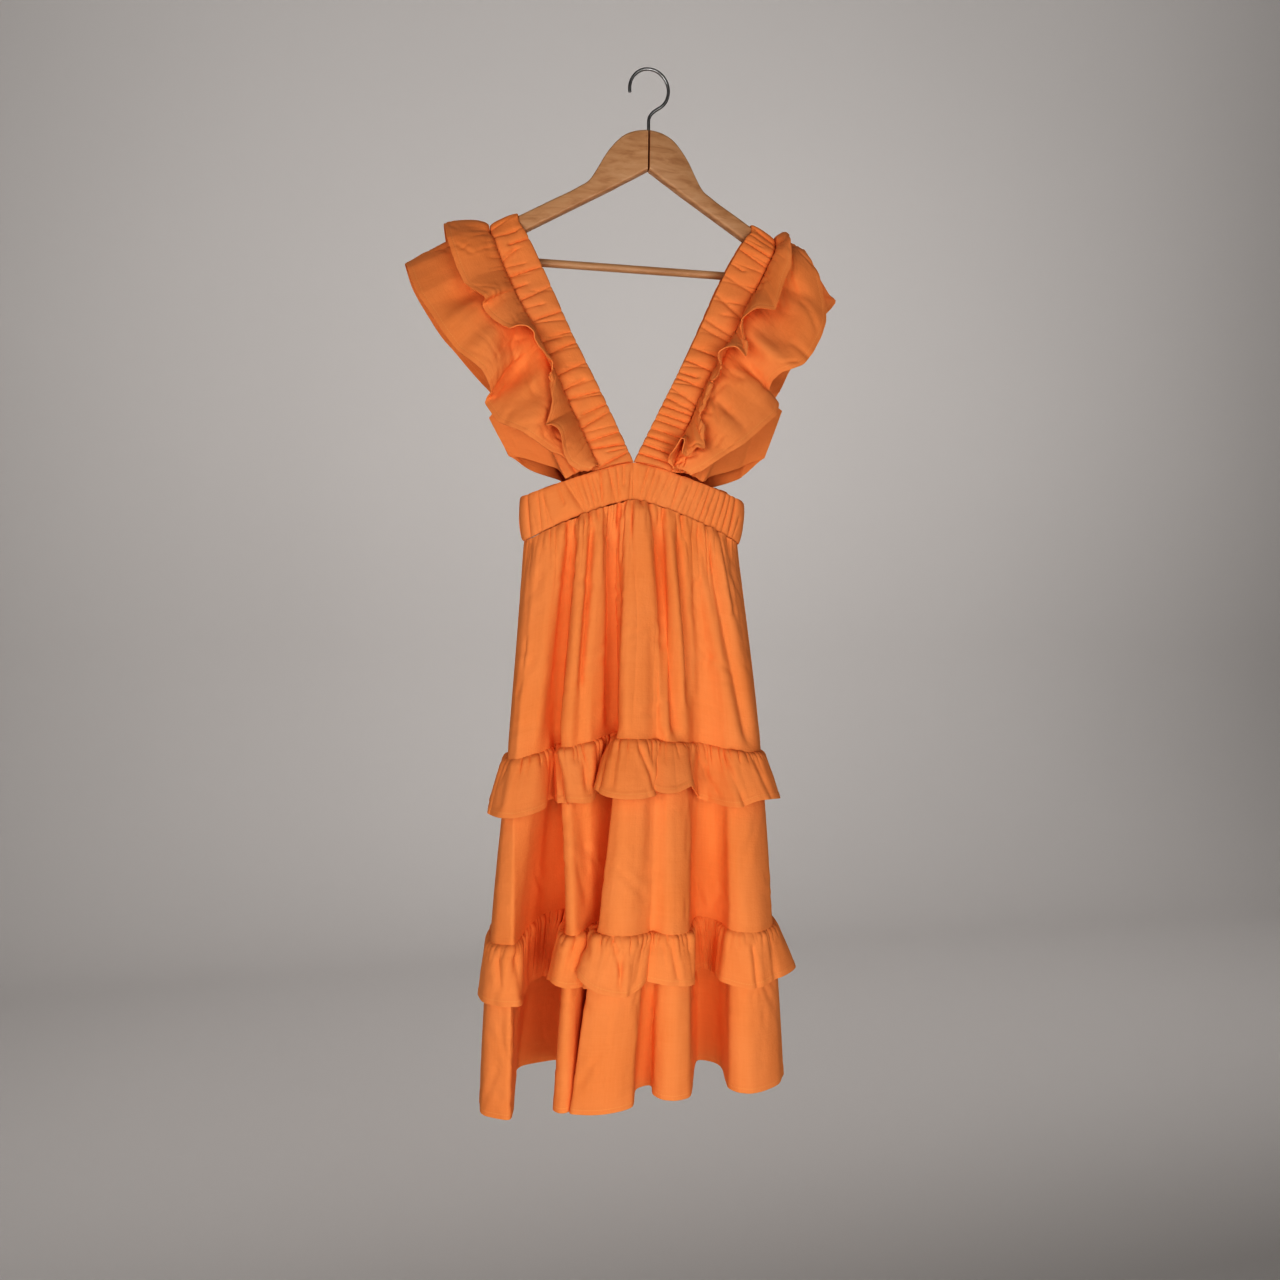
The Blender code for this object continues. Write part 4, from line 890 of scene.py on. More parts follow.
def band_pinches(facing):
    """Pinches of the gathered band, with x across: the plainest at the front, and random finer ones."""
    rng = np.random.default_rng(11 if facing < 0 else 12)
    lines = []
    for top, foot, start, end, strength in BAND_PINCHES if facing < 0 else ():
        lines.append((top * MM, start * BAND_DEPTH, foot * MM, end * BAND_DEPTH, PLAIN_PINCH, strength))
    x, last = BAND_PINCH_RANGE
    while x < last:
        x += rng.uniform(6.5, 12.5) if facing > 0 else rng.uniform(11, 19)
        lean = 9 * max(-1.0, min(1.0, (x + 20) / 60))
        start = rng.choice((-0.1, 0.1, 0.45))
        end = rng.choice((1.1, 0.9, 0.55)) if start < 0.3 else 1.1
        top, foot = x + lean / 2 + rng.normal(0, 1.2), x - lean / 2 + rng.normal(0, 1.2)
        strength = rng.uniform(0.5, 0.85) if facing > 0 else rng.uniform(0.25, 0.55)
        width = rng.uniform(1.4, 2.2) * MM
        lines.append((top * MM, start * BAND_DEPTH, foot * MM, end * BAND_DEPTH, width, strength))
    return lines


def waistband(facing):
    angle = np.pi * (1 - (np.linspace(-1, 1, BAND_COLUMNS[facing]) + 1) / 2)
    power = 2 / WAIST_SQUARENESS
    cosine, sine = np.cos(angle), np.sin(angle).clip(0, 1)
    downs = np.linspace(0, 1, BAND_ROWS)
    rows = []
    for down in downs:
        half_width = WAIST_HALF_WIDTH - BAND_TAPER * down
        x = WAIST_CENTRE + half_width * np.sign(cosine) * np.abs(cosine) ** power
        top, foot = band_heights(x, PEAKS[facing])
        rows.append(np.stack([x, facing * WAIST_HALF_DEPTH * sine**power, top + (foot - top) * down], axis=1))
    grid = lapped(np.array(rows))
    x = grid[:, :, 0]
    down = downs[:, None]
    if facing > 0:
        lift = BACK_BAND_LIFT * smooth((x - 62 * MM) / (22 * MM)) * smooth((124 * MM - x) / (12 * MM))
        grid[:, :, 2] += lift * (1 - down) ** 2
    puff = puffed(x, down * BAND_DEPTH, band_pinches(facing))
    edge = (4 * down * (1 - down)).clip(0, 1) ** 0.45
    uneven = 0.85 + 0.3 * patches(x / 0.017, down * 1.6, 5 + facing)
    thickness = PINCHED + (0.25 + 0.75 * edge) * BAND_PUFF * puff * uneven
    grid[0, :, 2] += 0.8 * MM * (puff[0] - 0.6)
    outer = grid + grid_normals(grid, (0, facing, 0)) * thickness[..., None]
    shell(f"band_{FACES[facing]}", f"waistband_{FACES[facing]}", grid, outer)


# Skirt, at levels: 0 waist, 1 and 2 tiers, 3 hem


def plan_rows(level):
    """The front plan's corner points at a level."""
    rows = (np.array(FRONT_PLAN, float)[:, 1:] * MM).reshape(-1, 4, 2).swapaxes(0, 1)
    if level > 2:
        level = 2 + (level - 2) ** LOW_TIER_EASE
    return along(np.arange(4), rows, [level])[0]


def back_line(level, u):
    """The back's plan curve at a level, in full rounded folds through crests and troughs."""
    table = np.array(BACK_FOLDS, float)
    across = table[:, [1, 2, 4, 6]].T * MM
    waist = waist_y(across[0], WAIST_HALF_WIDTH - BAND_TAPER) + WAIST_FOLD * table[:, 0]
    forward = np.stack([waist, *(table[:, [3, 5, 7]].T * MM)])
    points = along(np.arange(4), np.stack([across, forward], axis=-1), [level])[0]
    points[[0, -1]] = plan_rows(level)[[0, -1]]
    tangents = np.concatenate([[(0, 1)], unit(points[2:] - points[:-2]), [(0, -1)]])
    index = np.clip(u.astype(int), 0, len(points) - 2)
    first, second = points[index], points[index + 1]
    pull = FOLD_FULLNESS * np.linalg.norm(second - first, axis=1, keepdims=True)
    return hermite((u - index)[:, None], first, second, tangents[index] * pull, tangents[index + 1] * pull)


def plan_places():
    """Fine places along the front plan, evenly spaced along the cloth of the two lower tiers."""
    corners = [plan_rows(level) for level in (1, 2, 3)]
    steps = sum(np.linalg.norm(np.diff(rows, axis=0), axis=1) for rows in corners) / 3
    run = np.concatenate([[0], np.cumsum(steps)])
    wanted = np.linspace(0, run[-1], PLAN_SAMPLES)
    return np.interp(wanted, run, np.arange(len(run))), run[-1] / (PLAN_SAMPLES - 1)


def front_line(level, u):
    """The front's plan curve at a level, along its corner points, each bend as soft as its column says."""
    places, step = plan_places()
    corners = plan_rows(level)
    index = np.arange(len(corners))
    line = read(places, index, corners)
    softness = np.interp(places, index, [row[0] for row in FRONT_PLAN])
    stack = np.stack([blurred(line, spread * MM / step) for spread in SOFT_BENDS])
    blend = np.interp(softness, SOFT_BENDS, np.arange(len(SOFT_BENDS)))
    low = np.clip(blend.astype(int), 0, len(SOFT_BENDS) - 2)
    part = (blend - low)[:, None]
    every = np.arange(len(places))
    return read(u, places, stack[low, every] * (1 - part) + stack[low + 1, every] * part)


def plan_line(facing, level, u):
    return front_line(level, u) if facing < 0 else back_line(level, u)


def seam_height(seam, x):
    peak_height, fall, peak_x = seam
    part = fall_from_peak(x, peak_x, FRONT_PLAN[0][7] * MM, FRONT_PLAN[-1][7] * MM)
    return peak_height - fall * part**SEAM_FALL_POWER


def skirt_grid(facing, levels, u):
    rows = []
    for level in levels:
        plan = plan_line(facing, level, u)
        waist = band_heights(plan[:, 0], PEAKS[facing])[1] - 1.2 * SEAM
        heights = [waist] + [seam_height(seam, plan[:, 0]) for seam in (TIER_ONE, TIER_TWO, HEM)]
        lower = min(int(level), 2)
        part = level - lower
        rows.append(np.column_stack([plan, heights[lower] * (1 - part) + heights[lower + 1] * part]))
    return np.array(rows)


def even_places(facing, level, count):
    """Places along the plan that are evenly spaced along the cloth at a level, and the run to each."""
    fine = np.linspace(0, len(FRONT_PLAN if facing < 0 else BACK_FOLDS) - 1, 4000)
    run = run_along(plan_line(facing, level, fine))
    return np.interp(np.linspace(0, run[-1], count), run, fine), np.arange(count) / (count - 1) * run[-1]


def fading_ends(count):
    """1 along a seam, falling to 0 at both of its ends."""
    return np.sin(np.pi * np.arange(count) / (count - 1)).clip(0, 1) ** 0.25


def gathers(run, down, seed):
    """Gathers that run down from the waistband, larger ones further than fine ones."""
    height = np.zeros(down.shape)
    for number, (width, depth, reach) in enumerate(WAIST_GATHERS):
        drift = 0.5 * width * patches(run / (4 * width), down / reach, seed + 20 + number)
        hills = np.abs(patches((run + drift) / width, 0.35 * down / reach, seed + number))
        height += depth * (np.minimum(hills / 0.55, 1.0) ** 0.8 - 0.6) * np.exp(-down / reach)
    return height


def waves(run, down, seed, sizes):
    """Uneven hills and hollows, in layers that each have a height, a width and a reach down."""
    heights = []
    for number, (size, width, reach) in enumerate(sizes):
        heights.append(size * patches(run / width, down / reach, seed + number))
    return sum(heights)


def crumples(width, drop, seed, area=CRUMPLE_AREA, size=1.0):
    """Soft short creases left in the cloth, one to each area."""
    rng = np.random.default_rng(seed)
    lines = []
    for _ in range(int(width * drop / area)):
        a, d = rng.uniform(0, width), rng.uniform(0.1, 0.9) * drop
        length, lean = size * rng.uniform(22, 60) * MM, rng.uniform(0, np.pi)
        half_a, half_d = length / 2 * math.cos(lean), length / 2 * math.sin(lean)
        ends = (a - half_a, d - half_d, a + half_a, d + half_d)
        lines.append((*ends, size * rng.uniform(2.4, 5) * MM, rng.uniform(0.3, 0.9) * MM))
    return lines


def gather_lines(width, spacing, reach, strength, seed):
    """Pinches down from a gathered seam."""
    rng = np.random.default_rng(seed)
    lines = []
    place = rng.uniform(0.2, 0.8) * spacing
    while place < width:
        length = reach * rng.uniform(0.45, 1.7)
        slant = rng.normal(0, 0.13) * length
        pinch = spacing * rng.uniform(0.16, 0.27)
        lines.append((place, -0.3 * length, place + slant, length, pinch, strength * rng.uniform(0.65, 1.0)))
        place += spacing * rng.uniform(0.55, 1.5)
    return lines


def tucked(grid, facing, down):
    """The skirt's top drawn in to the waistband's foot, where its gathers start."""
    x = grid[:, :, 0]
    band = facing * (waist_y(x, WAIST_HALF_WIDTH - BAND_TAPER) + TUCK_OUT)
    share = bell(down / TUCK_DEPTH) * smooth((WAIST_HALF_WIDTH - np.abs(x - WAIST_CENTRE)) / (14 * MM))
    made = grid.copy()
    made[:, :, 1] += share * (band - made[:, :, 1])
    return made


def skirt_section(part, facing, first, rows):
    """A panel of the skirt from one level down to the next, with its creases and gathers."""
    last = first + 1
    columns = SKIRT_COLUMNS[facing]
    u, run = even_places(facing, (first + last) / 2, columns)
    grid = skirt_grid(facing, np.linspace(first, last, rows), u)
    down = (grid[0, :, 2] - grid[:, :, 2]).clip(0, None)
    up = (grid[:, :, 2] - grid[-1, :, 2]).clip(0, None)
    seed = 40 + 10 * first + (0 if facing < 0 else 3)
    height = waves(run, down, seed, SKIRT_WAVES[facing])
    height += CRUMPLE_DEPTH * crease_field(run, down, crumples(run[-1], float(down.max()), seed + 5))
    if first == 0:
        grid = tucked(grid, facing, down)
        below_band = 1 - np.exp(-down / GATHERS_START)
        height = height * smooth(down / CALM_BELOW_BAND) + below_band * gathers(run, down, seed + 2)
        if facing < 0:
            height += crease_field(grid[:, :, 0], grid[:, :, 2], np.array(SKIRT_CREASES) * MM)
    else:
        height = height * smooth(down / CALM_AT_SEAM)
    grid[0, :, 2] -= SEAM / 2
    thickness = np.full(grid.shape[:2], CLOTH)
    if last < 3:
        height = height * smooth(up / CALM_AT_SEAM) + SEAM_LIP * np.exp(-up / SEAM_LIP_REACH)
        grid[-1, :, 2] += SEAM / 2
    else:
        thickness += HEM_TURNING * smooth((HEM_DEPTH - up) / (2 * MM))
    if part == "mid" and facing < 0:
        height += SEAM_WELT * bell((u[None] - SEAM_PLACE) / 0.05)
    height = height * fading_ends(columns)
    name = f"skirt_{part}_{FACES[facing]}"
    cloth(f"{name}_cloth", name, lapped(grid), (0, facing, 0), height, thickness, last == 3)


def front_of(line, x):
    """How far forward a plan line reaches at x."""
    order = np.linspace(line[:, 0].min(), line[:, 0].max(), 500)
    reach = np.array([line[np.abs(line[:, 0] - place) < 3 * MM, 1].min(initial=0.0) for place in order])
    return np.interp(x, order, reach)


def front_foot(number, u, head):
    """Where the foot of a skirt ruffle runs on the front, kept clear of the skirt below it."""
    table = in_metres(RUFFLE_FEET[number])
    places, _ = plan_places()
    foot = read(u, places, blurred(read(places, table[:, 0], table[:, 1:]), 13.0))
    last = len(FRONT_PLAN) - 1
    below = front_line(number + FOOT_LEVEL, np.linspace(0, last, 3000))
    shown = smooth((front_of(below, head[:, 0]) + 12 * MM - head[:, 1]) / (8 * MM))
    inside = (foot[:, 1] - front_of(below, foot[:, 0]) + FOOT_CLEARANCE).clip(0, None)
    inner = smooth(u / 0.8) * smooth((last - u) / 0.8)
    foot[:, 1] -= inside * inner * np.maximum(shown, smooth((head[:, 1] - foot[:, 1]) / (20 * MM)))
    return foot


def back_foot(number, u, head, normals):
    """Where the foot of a skirt ruffle runs on the back, from end to end of the front's."""
    last = len(BACK_FOLDS) - 1
    push = np.interp(u, np.arange(last + 1), [1.0 if row[0] > 0 else 0.35 for row in BACK_FOLDS])
    left, right = BACK_RUFFLE_SIDES[number]
    below = skirt_grid(1, [number + RUFFLE_SHARE], u)[0]
    foot = below + normals * (CLOTH + SEAM) + [0, BACK_RUFFLE_OUT, 0] * push[:, None]
    foot[:, 0] += -left * smooth(1 - u / 1.2) + right * smooth(1 - (last - u) / 1.2)
    foot[:, 2] = head[:, 2] - BACK_RUFFLE_DROP + FOOT_DIP * patches(u * 1.3, 0.5, 70 + number)
    wave = FOOT_WAVE * np.sin(2 * np.pi * (2.6 * u + 0.8 * patches(u * 0.9, 0.2, 71 + number)))
    foot[:, 1] += wave * smooth(u) * smooth(last - u)
    for end, near in ((0, 1 - u / 0.9), (-1, 1 - (last - u) / 0.9)):
        shared = in_metres(RUFFLE_FEET[number])[end, 1:] + [0, 0.5 * MM, 0]
        foot += (shared - foot[end]) * smooth(near)[:, None]
    behind = foot[:, 1] - foot[[0, -1], 1][:, None]
    foot[:, 0] = foot[:, 0].clip(foot[0, 0] + 0.10 * behind[0], foot[-1, 0] - 0.06 * behind[1])
    return foot


def tier_ruffle(number, facing):
    """A gathered strip whose head is caught in a skirt seam and whose foot stands out in its own folds."""
    columns = RUFFLE_COLUMNS[facing]
    u, run = even_places(facing, number + 0.2, columns)
    normals = grid_normals(skirt_grid(facing, [number, number + 0.1], u), (0, facing, 0))[0]
    head = skirt_grid(facing, [number], u)[0] + normals * (CLOTH + SEAM)
    foot = front_foot(number, u, head) if facing < 0 else back_foot(number, u, head, normals)
    down = RUFFLE_ROWS[:, None]
    grid = skirt_grid(facing, number + RUFFLE_SHARE * RUFFLE_ROWS, u)
    clear = CLOTH + SEAM + RUFFLE_CLEAR * smooth(down / 0.12)
    grid = grid + grid_normals(grid, (0, facing, 0)) * clear[..., None]
    grid[0] = head
    spread = 0.35 * down**1.6 + 0.65 * (1 - (1 - down) ** 1.7)
    grid = grid + (foot - grid[-1]) * spread[..., None]
    fall = down * BACK_RUFFLE_DROP
    seed = 20 * number + (0 if facing < 0 else 7)
    fine = puffed(run, fall, gather_lines(run[-1], HEAD_SPACING, HEAD_REACH, 1.0, seed))
    long = puffed(run, fall, gather_lines(run[-1], LONG_SPACING, LONG_REACH, 0.9, seed + 4))
    rise = 1 - np.exp(-fall / HEAD_RISE)
    uneven = 1 + 0.45 * patches(run / (1.6 * HEAD_SPACING), fall / 0.03, seed + 5)
    height = HEAD_PUFF * rise * uneven * (fine - 0.3) * np.exp(-fall / HEAD_FADE) + LONG_PUFF * rise * long
    height += FOLD_PUFF * rise * (0.35 + patches(run / FOLD_SPACING, fall / 0.1, seed + 1))
    (size, width, reach), fine_waves = RUFFLE_WAVES
    ripples = size * patches(run / width, fall / reach, seed + 2) * down
    height += ripples + waves(run, fall, seed + 3, [fine_waves])
    if facing < 0:
        height += crease_field(grid[:, :, 0], grid[:, :, 2], np.array(RUFFLE_CREASES[number]) * MM)
    height = height * fading_ends(columns)
    thickness = CLOTH + RUFFLE_TURNING * smooth((RUFFLE_HEM - (BACK_RUFFLE_DROP - fall)) / (1.5 * MM))
    face = FACES[facing]
    part = f"tier_{number}_ruffle_{face}"
    cloth(f"ruffle_{number}_{face}_cloth", part, lapped(grid), (0, facing, 0), height, thickness)


# Straps, bodice and shoulder ruffles


def strap_edges(side, s):
    """Inner and outer edge points of a strap at stations s, from the front waist to the back waist."""
    rows = in_metres(STRAPS[side])
    shift = BACK_STRAP_SHIFT * (1 - rows[:, 0] / 0.5)
    half = ARM_HALF_THICK + OVER_ARM_CLEARANCE
    lines = []
    for x, z, top_x in zip(rows[:, [1, 3]].T, rows[:, [2, 4]].T, SHOULDER[side]):
        front = np.column_stack([rows[:, 0], x, rows[:, 5], z])
        back = np.column_stack([1 - rows[:, 0], x + shift, rows[:, 6], z])
        for line, facing in ((front, -1), (back, 1)):
            line[0, 2:] = facing * waist_y(line[0, 1]), band_heights(line[0, 1], PEAKS[facing])[0] + SEAM
        high = arm_top(top_x) + OVER_ARM_CLEARANCE
        crown = [(part, top_x, arm_y(top_x) + half * reach, high + rise) for part, reach, rise in CROWN]
        table = np.concatenate([front, crown, back[::-1]])
        lines.append(along(table[:, 0], table[:, 1:], s))
    return lines


def strap_places(front, back):
    """Places along a strap, closer together where it bends over the arm."""
    parts = (np.linspace(0, 0.47, front), np.linspace(0.47, 0.53, 34)[1:-1], np.linspace(0.53, 1, back))
    return np.concatenate(parts)


def strap_pinches(side, seed):
    """Pinches across a strap, from edge to edge or part of the way."""
    rng = np.random.default_rng(seed)
    scale = np.array([STRAP_LENGTH, STRAP_HALF_WIDTH] * 2)
    lines = [(*(row * scale), STRAP_PINCH, 1.0) for row in np.array(STRAP_PINCHES[side])]
    place = 0.008
    while place < 0.99:
        place += rng.uniform(0.018, 0.036) if place < 0.5 else rng.uniform(0.012, 0.026)
        slant = rng.uniform(-0.2, 1.0) * 0.008 * (-1 if place < 0.5 else 1)
        start, end = ((-1.15, 0.2), (-0.2, 1.15), (-1.15, 1.15))[rng.integers(3)]
        strength = rng.uniform(0.3, 0.6) if place < 0.5 else rng.uniform(0.55, 0.9)
        ends = np.array([place + slant * start, start, place + slant * end, end]) * scale
        lines.append((*ends, rng.uniform(1.2, 1.9) * MM, strength))
    return lines


def strap(side):
    s = strap_places(*STRAP_COUNTS)
    inner, outer = strap_edges(side, s)
    wide = (np.sin(np.linspace(-1, 1, STRAP_ROWS) * np.pi / 2 * 0.9) / np.sin(np.pi / 2 * 0.9))[:, None]
    part = ((wide + 1) / 2)[..., None]
    grid = inner * (1 - part) + outer * part
    for end, peak in ((0, FRONT_PEAK), (-1, BACK_PEAK)):
        grid[:, end, 2] = band_heights(grid[:, end, 0], peak)[0] + 0.3 * MM
    run = s * STRAP_LENGTH
    aside = wide * STRAP_HALF_WIDTH
    puff = puffed(run, aside, strap_pinches(side, 3 if side == "left" else 4))
    calm = bell((s - 0.5) / 0.018)
    puff = puff * (1 - 0.6 * calm) + 0.35 * calm
    edge = (1 - np.abs(wide) ** 3.2).clip(0, 1) ** 0.5
    uneven = 0.9 + 0.25 * patches(run / 0.016, aside / 0.02, 9)
    thickness = PINCHED + (0.22 + 0.78 * edge) * STRAP_PUFF * puff * uneven
    scallop = STRAP_SCALLOP * (puff - 0.55) * (np.abs(wide) ** 4) * np.sign(wide)
    keep = smooth(np.minimum(s, 1 - s) / 0.02)
    grid = grid + unit(outer - inner) * (scallop * keep * (1 - calm))[..., None]
    outside = grid + grid_normals(grid, (0, 0, 1)) * thickness[..., None]
    shell(f"strap_{side}_cloth", f"strap_{side}", grid, outside)


def bodice(side, facing):
    """A side panel from the strap's outer edge to the side seam, cut away above the waistband."""
    down = np.linspace(0, 1, BODICE_ROWS)[:, None]
    s = BODICE_LEAVES_STRAP * (1 - down[:, 0])
    edge = strap_edges(side, s if facing < 0 else 1 - s)[1]
    edge[:, 0] += SIGNS[side] * SEAM
    seam_top, seam_foot = np.array(SIDE_SEAMS[side]) * MM
    seam = seam_top + (seam_foot - seam_top) * down
    seam[:, 1] += facing * SEAM / 2
    across = np.linspace(0, 1, BODICE_COLUMNS)
    band_end = BODICE_ON_BAND[side] + (0 if facing < 0 else BACK_STRAP_SHIFT / 2)
    clear_x = band_end + BODICE_FOOT_SPREAD * (seam_foot[0] - band_end)
    stations = (0, BODICE_BAND_PART, (1 + BODICE_BAND_PART) / 2, 1)
    foot_x = along(stations, (edge[-1, 0], band_end, clear_x, seam_foot[0]), across)
    lift = ((across - BODICE_BAND_PART) / (1 - BODICE_BAND_PART)).clip(0, 1) ** BODICE_FOOT_RISE[side]
    foot_y = facing * waist_y(foot_x) * (1 - lift) + seam[-1, 1] * lift
    foot_z = (band_heights(foot_x, PEAKS[facing])[0] + SEAM) * (1 - lift) + seam_foot[2] * lift
    foot = np.column_stack([foot_x, foot_y, foot_z])
    wave = np.sin(np.pi * across) ** 1.5
    if facing < 0:
        foot[:, 2] += FRONT_PANEL_RISE * wave * (0.7 + 0.6 * np.sin(9 * across))
    else:
        foot[:, 2] -= BACK_PANEL_DROP * wave
    head = edge[0] + (seam[0] - edge[0]) * across[:, None]
    head[:, 1] += facing * 0.5 * BODICE_SAG * np.sin(np.pi * across)
    head[:, 2] -= BODICE_SAG * np.sin(np.pi * across)
    v = down[..., None]
    u = across[None, :, None]
    corners = (1 - u) * (1 - v) * edge[0] + u * (1 - v) * seam[0] + (1 - u) * v * edge[-1] + u * v * seam[-1]
    grid = edge[:, None] * (1 - u) + seam[:, None] * u + (head * (1 - v) + foot * v) - corners
    ripple = np.sin(2 * np.pi * (11 * across + patches(across * 5, 0.3, 8)))
    height = BODICE_GATHERS * (ripple * smooth((down - 0.35) / 0.65) * smooth((0.5 - across) / 0.1))
    height = height + BODICE_WAVES * patches(across * 4, down * 3, 15 + facing)
    height *= np.sin(np.pi * across).clip(0, 1) ** 0.3
    name = f"bodice_{FACES[facing]}_{side}"
    cloth(f"{name}_cloth", name, grid, (0, facing, 0), height, hemmed=False)


def free_edge(table, s, spread):
    """A free edge at stations s, through a table's points with its bends rounded a little."""
    rows = in_metres(table)
    fine = np.linspace(0, 1, 1200)
    front = read(s, fine, blurred(read(fine, rows[:, 0], rows[:, 1:]), spread))
    back = along(rows[:, 0], rows[:, 1:], s)
    share = smooth((s - 0.44) / 0.04)[:, None]
    return front * (1 - share) + back * share


def shoulder_gathers(run, fall, seed):
    """Puffs and creases down from the seam between a strap and its ruffles."""
    fine, long = SHOULDER_GATHERS
    fine_puffs = puffed(run, fall, gather_lines(STRAP_LENGTH, *fine[:3], seed))
    long_puffs = puffed(run, fall, gather_lines(STRAP_LENGTH, *long[:3], seed + 7))
    rise = 1 - np.exp(-fall / SHOULDER_RISE)
    return fine[3] * rise * fine_puffs * np.exp(-fall / SHOULDER_FADE) + long[3] * rise * long_puffs


def shoulder_ruffle(side, kind, layer, edges, spread, bulge, drop, counts, gathered, waves, crumpled, ends):
    """A ruffle along a strap's outer edge, that bows out to its free edge."""
    odd = 0 if side == "left" else 1
    stations, *rows = counts
    s = strap_places(stations, BACK_STATIONS) * (1 - 2 * RUFFLE_INSET) + RUFFLE_INSET
    c = np.concatenate([np.linspace(0, rows[0], rows[1]), np.linspace(rows[2], 1.0, 5)])[:, None]
    inner, outer = strap_edges(side, s)
    outward = grid_normals(np.stack([inner, outer]), (0, 0, 1))[0]
    start = outer + outward * (layer * RUFFLE_LAYER)
    start[:, 0] += SIGNS[side] * RUFFLE_ASIDE
    free = free_edge(edges[side], s, spread)
    middle = (start + free) / 2 + outward * bulge
    part = c[..., None]
    grid = start * (1 - part) ** 2 + middle * 2 * part * (1 - part) + free * part**2
    run = s * STRAP_LENGTH
    fall = c * drop
    strength, seed = gathered
    height = strength * shoulder_gathers(run, fall, seed + odd)
    size, width, reach, seed = waves
    height += size * patches(run / width, fall / reach, seed) * smooth(c / 0.25)
    strength, seed, area, size = crumpled
    height += strength * crease_field(run, fall, crumples(STRAP_LENGTH, drop, seed + odd, area, size))
    for place, across, reach, wide, depth in WIDE_HOLLOWS[side] if kind == "wide" else ():
        height -= depth * MM * np.exp(-(((s - place) / reach) ** 2) - ((c - across) / wide) ** 2)
    head, hem, hem_width = ends
    height *= smooth(c / head)
    thickness = CLOTH + SHOULDER_TURNING * smooth((c - hem) / hem_width)
    name = f"{kind}_ruffle_{side}"
    cloth(f"{name}_cloth", name, grid, (0, 0, 1), height, thickness)


# Each kind of shoulder ruffle: how many layers over the strap, its free edges and their rounding, how far it
# bows, its width, its places and rows, and the sizes and seeds of its gathers, waves, crumples and ends
SHOULDER_RUFFLES = {
    "wide": (
        (1, WIDE_EDGES, 3.0, WIDE_BULGE, 0.09, (215, 0.9, 34, 0.92)),
        ((1.0, 31), (1.4 * MM, 0.04, 0.05, 33), (1.5, 38, 0.0009, 0.7), (0.05, 0.93, 0.02)),
    ),
    "narrow": (
        (2, NARROW_EDGES, 2.2, NARROW_BULGE, 0.05, (290, 0.86, 22, 0.9)),
        ((0.9, 35), (0.8 * MM, 0.025, 0.03, 37), (1.0, 41, 0.0007, 0.5), (0.06, 0.88, 0.03)),
    ),
}


def build_object():
    for side in SIGNS:
        hanger_arm(side)
    hanger_bar()
    hanger_hook()
    for facing in FACES:
        waistband(facing)
        for first, (part, rows) in enumerate(SKIRT_ROWS[facing].items()):
            skirt_section(part, facing, first, rows)
        for number in (1, 2):
            tier_ruffle(number, facing)
    for side in SIGNS:
        strap(side)
        for facing in FACES:
            bodice(side, facing)
        for kind, (form, surface) in SHOULDER_RUFFLES.items():
            shoulder_ruffle(side, kind, *form, *surface)


build_object()


# Stage, light and camera

CAMERA_PITCH = math.radians(5.0)
CAMERA_YAW = math.radians(11.17)
CAMERA_ROLL = math.radians(-0.8)
CAMERA_PLACE = (-0.238005, -1.196560, -0.586255)
FLOOR_HEIGHT = -1.85
WALL_Y = 2.6
WALL_TOP = 4.5
FLOOR_FRONT = -9.0
BACKDROP_HALF_WIDTH = 7.0
COVE_RADIUS = 0.9
COVE_STEPS = 24
# Each light: place, what it points at, size across and along, energy, colour
LIGHTS = {
    "window": ((-1.5, -2.0, -0.5), (0, 0, -0.8), (1.2, 1.2), 15, (1.0, 0.985, 0.95)),
    "room": ((0.2, -2.0, -1.3), (0, 0, -1.15), (1.4, 0.8), 9.5, (1.0, 0.99, 0.96)),
    "fill": ((0.9, -2.2, -0.2), (0, 0, -0.4), (1.2, 1.2), 6, (1.0, 0.99, 0.96)),
    "wash_above": ((0.6, 1.3, 2.8), (0.6, 2.7, -1.2), (7.0, 0.6), 16, (1.0, 0.98, 0.96)),
    "wash": ((0.7, 0.2, 0.1), (0.7, WALL_Y, 0.1), (5.5, 2.4), 37, (1.0, 0.98, 0.96)),
}


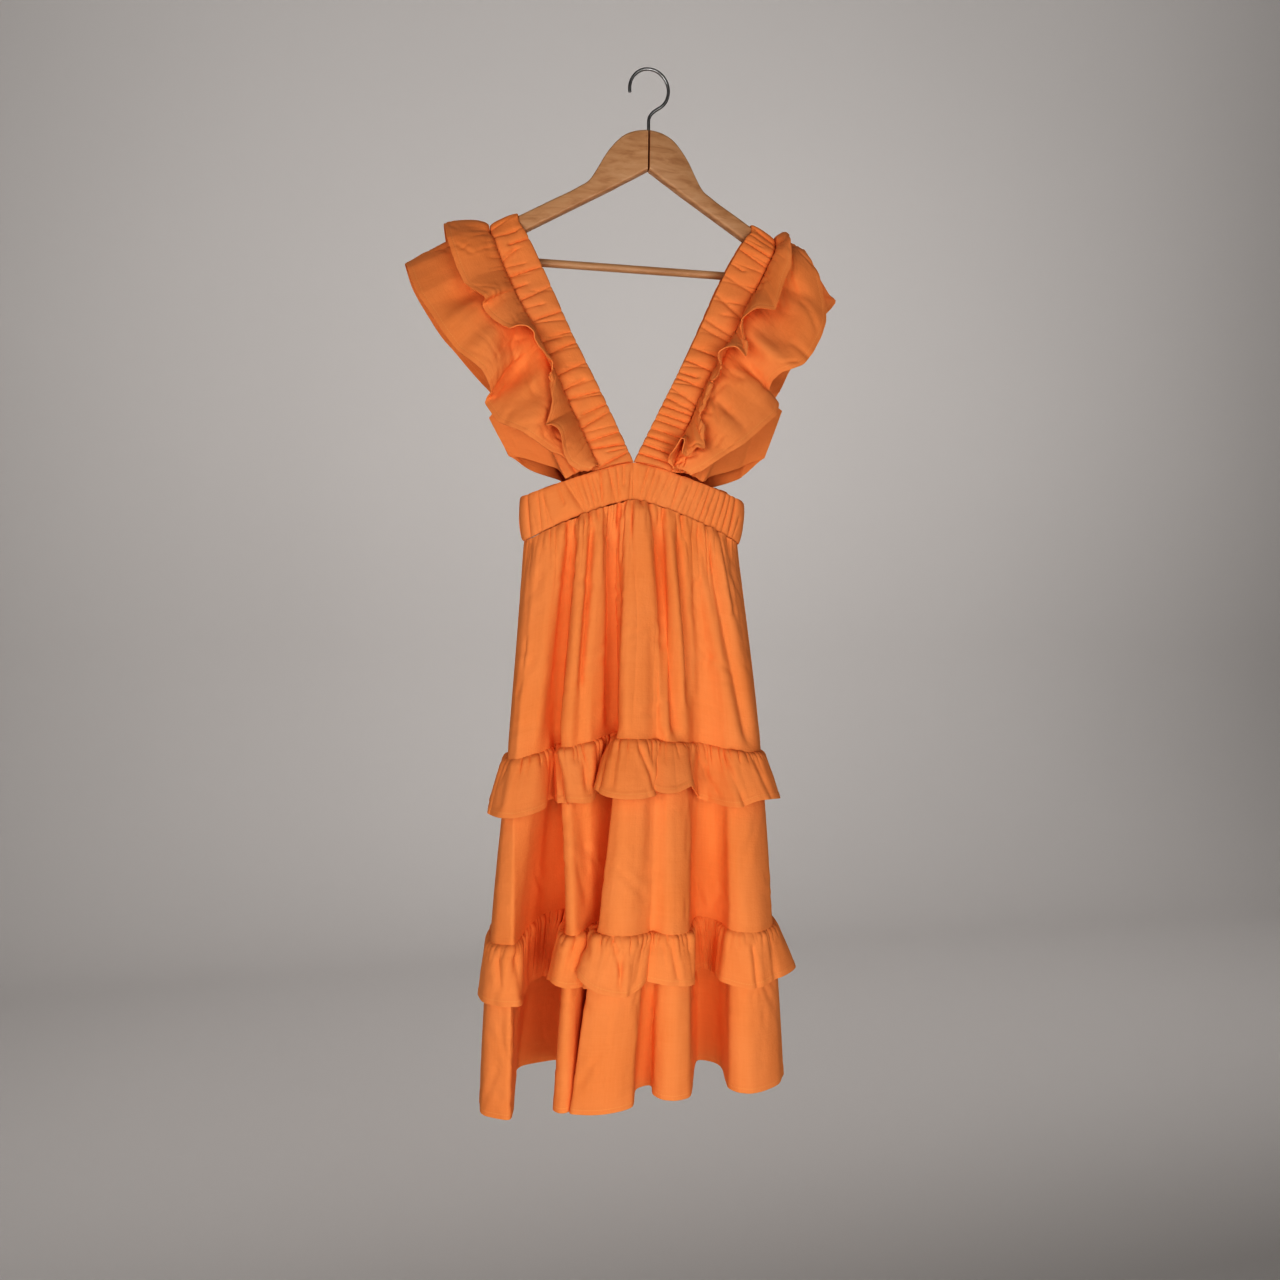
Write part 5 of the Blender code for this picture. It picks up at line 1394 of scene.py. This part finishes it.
def backdrop():
    """A pale floor that curves up into a pale wall, well behind the object."""
    profile = [(FLOOR_FRONT, FLOOR_HEIGHT)]
    for step in range(COVE_STEPS + 1):
        angle = math.pi / 2 * step / COVE_STEPS
        y = WALL_Y - COVE_RADIUS + COVE_RADIUS * math.sin(angle)
        profile.append((y, FLOOR_HEIGHT + COVE_RADIUS * (1 - math.cos(angle))))
    profile.append((WALL_Y, WALL_TOP))
    points = [(x, y, z) for x in (-BACKDROP_HALF_WIDTH, BACKDROP_HALF_WIDTH) for y, z in profile]
    count = len(profile)
    faces = [(i, i + 1, count + i + 1, count + i) for i in range(count - 1)]
    obj = mesh_object("backdrop", points, faces, paper("pale_paper", (0.60, 0.585, 0.58)))


def stage():
    backdrop()
    for name, (place, target, size, energy, colour) in LIGHTS.items():
        data = bpy.data.lights.new(name, "AREA")
        data.shape = "RECTANGLE"
        data.size, data.size_y = size
        data.energy = energy
        data.color = colour
        obj = bpy.data.objects.new(name, data)
        obj.location = place
        obj.rotation_euler = (Vector(target) - Vector(place)).to_track_quat("-Z", "Y").to_euler()
        bpy.context.scene.collection.objects.link(obj)
    bpy.data.objects["wash"].visible_camera = False
    world = bpy.data.worlds.new("room_light")
    world.use_nodes = True
    background = world.node_tree.nodes["Background"]
    background.inputs["Color"].default_value = (1.0, 0.96, 0.93, 1.0)
    background.inputs["Strength"].default_value = 0.08
    bpy.context.scene.world = world


def camera():
    data = bpy.data.cameras.new("photo_view")
    data.sensor_width = 36.0
    data.lens = 27.0
    data.clip_start = 0.05
    obj = bpy.data.objects.new("photo_view", data)
    bpy.context.scene.collection.objects.link(obj)
    turn = (
        Matrix.Rotation(-CAMERA_YAW, 4, "Z")
        @ Matrix.Rotation(math.pi / 2 - CAMERA_PITCH, 4, "X")
        @ Matrix.Rotation(-CAMERA_ROLL, 4, "Z")
    )
    obj.matrix_world = Matrix.Translation(CAMERA_PLACE) @ turn
    bpy.context.scene.camera = obj


stage()
camera()
bpy.context.scene.view_settings.view_transform = "Standard"
bpy.context.scene.view_settings.look = "Very High Contrast"
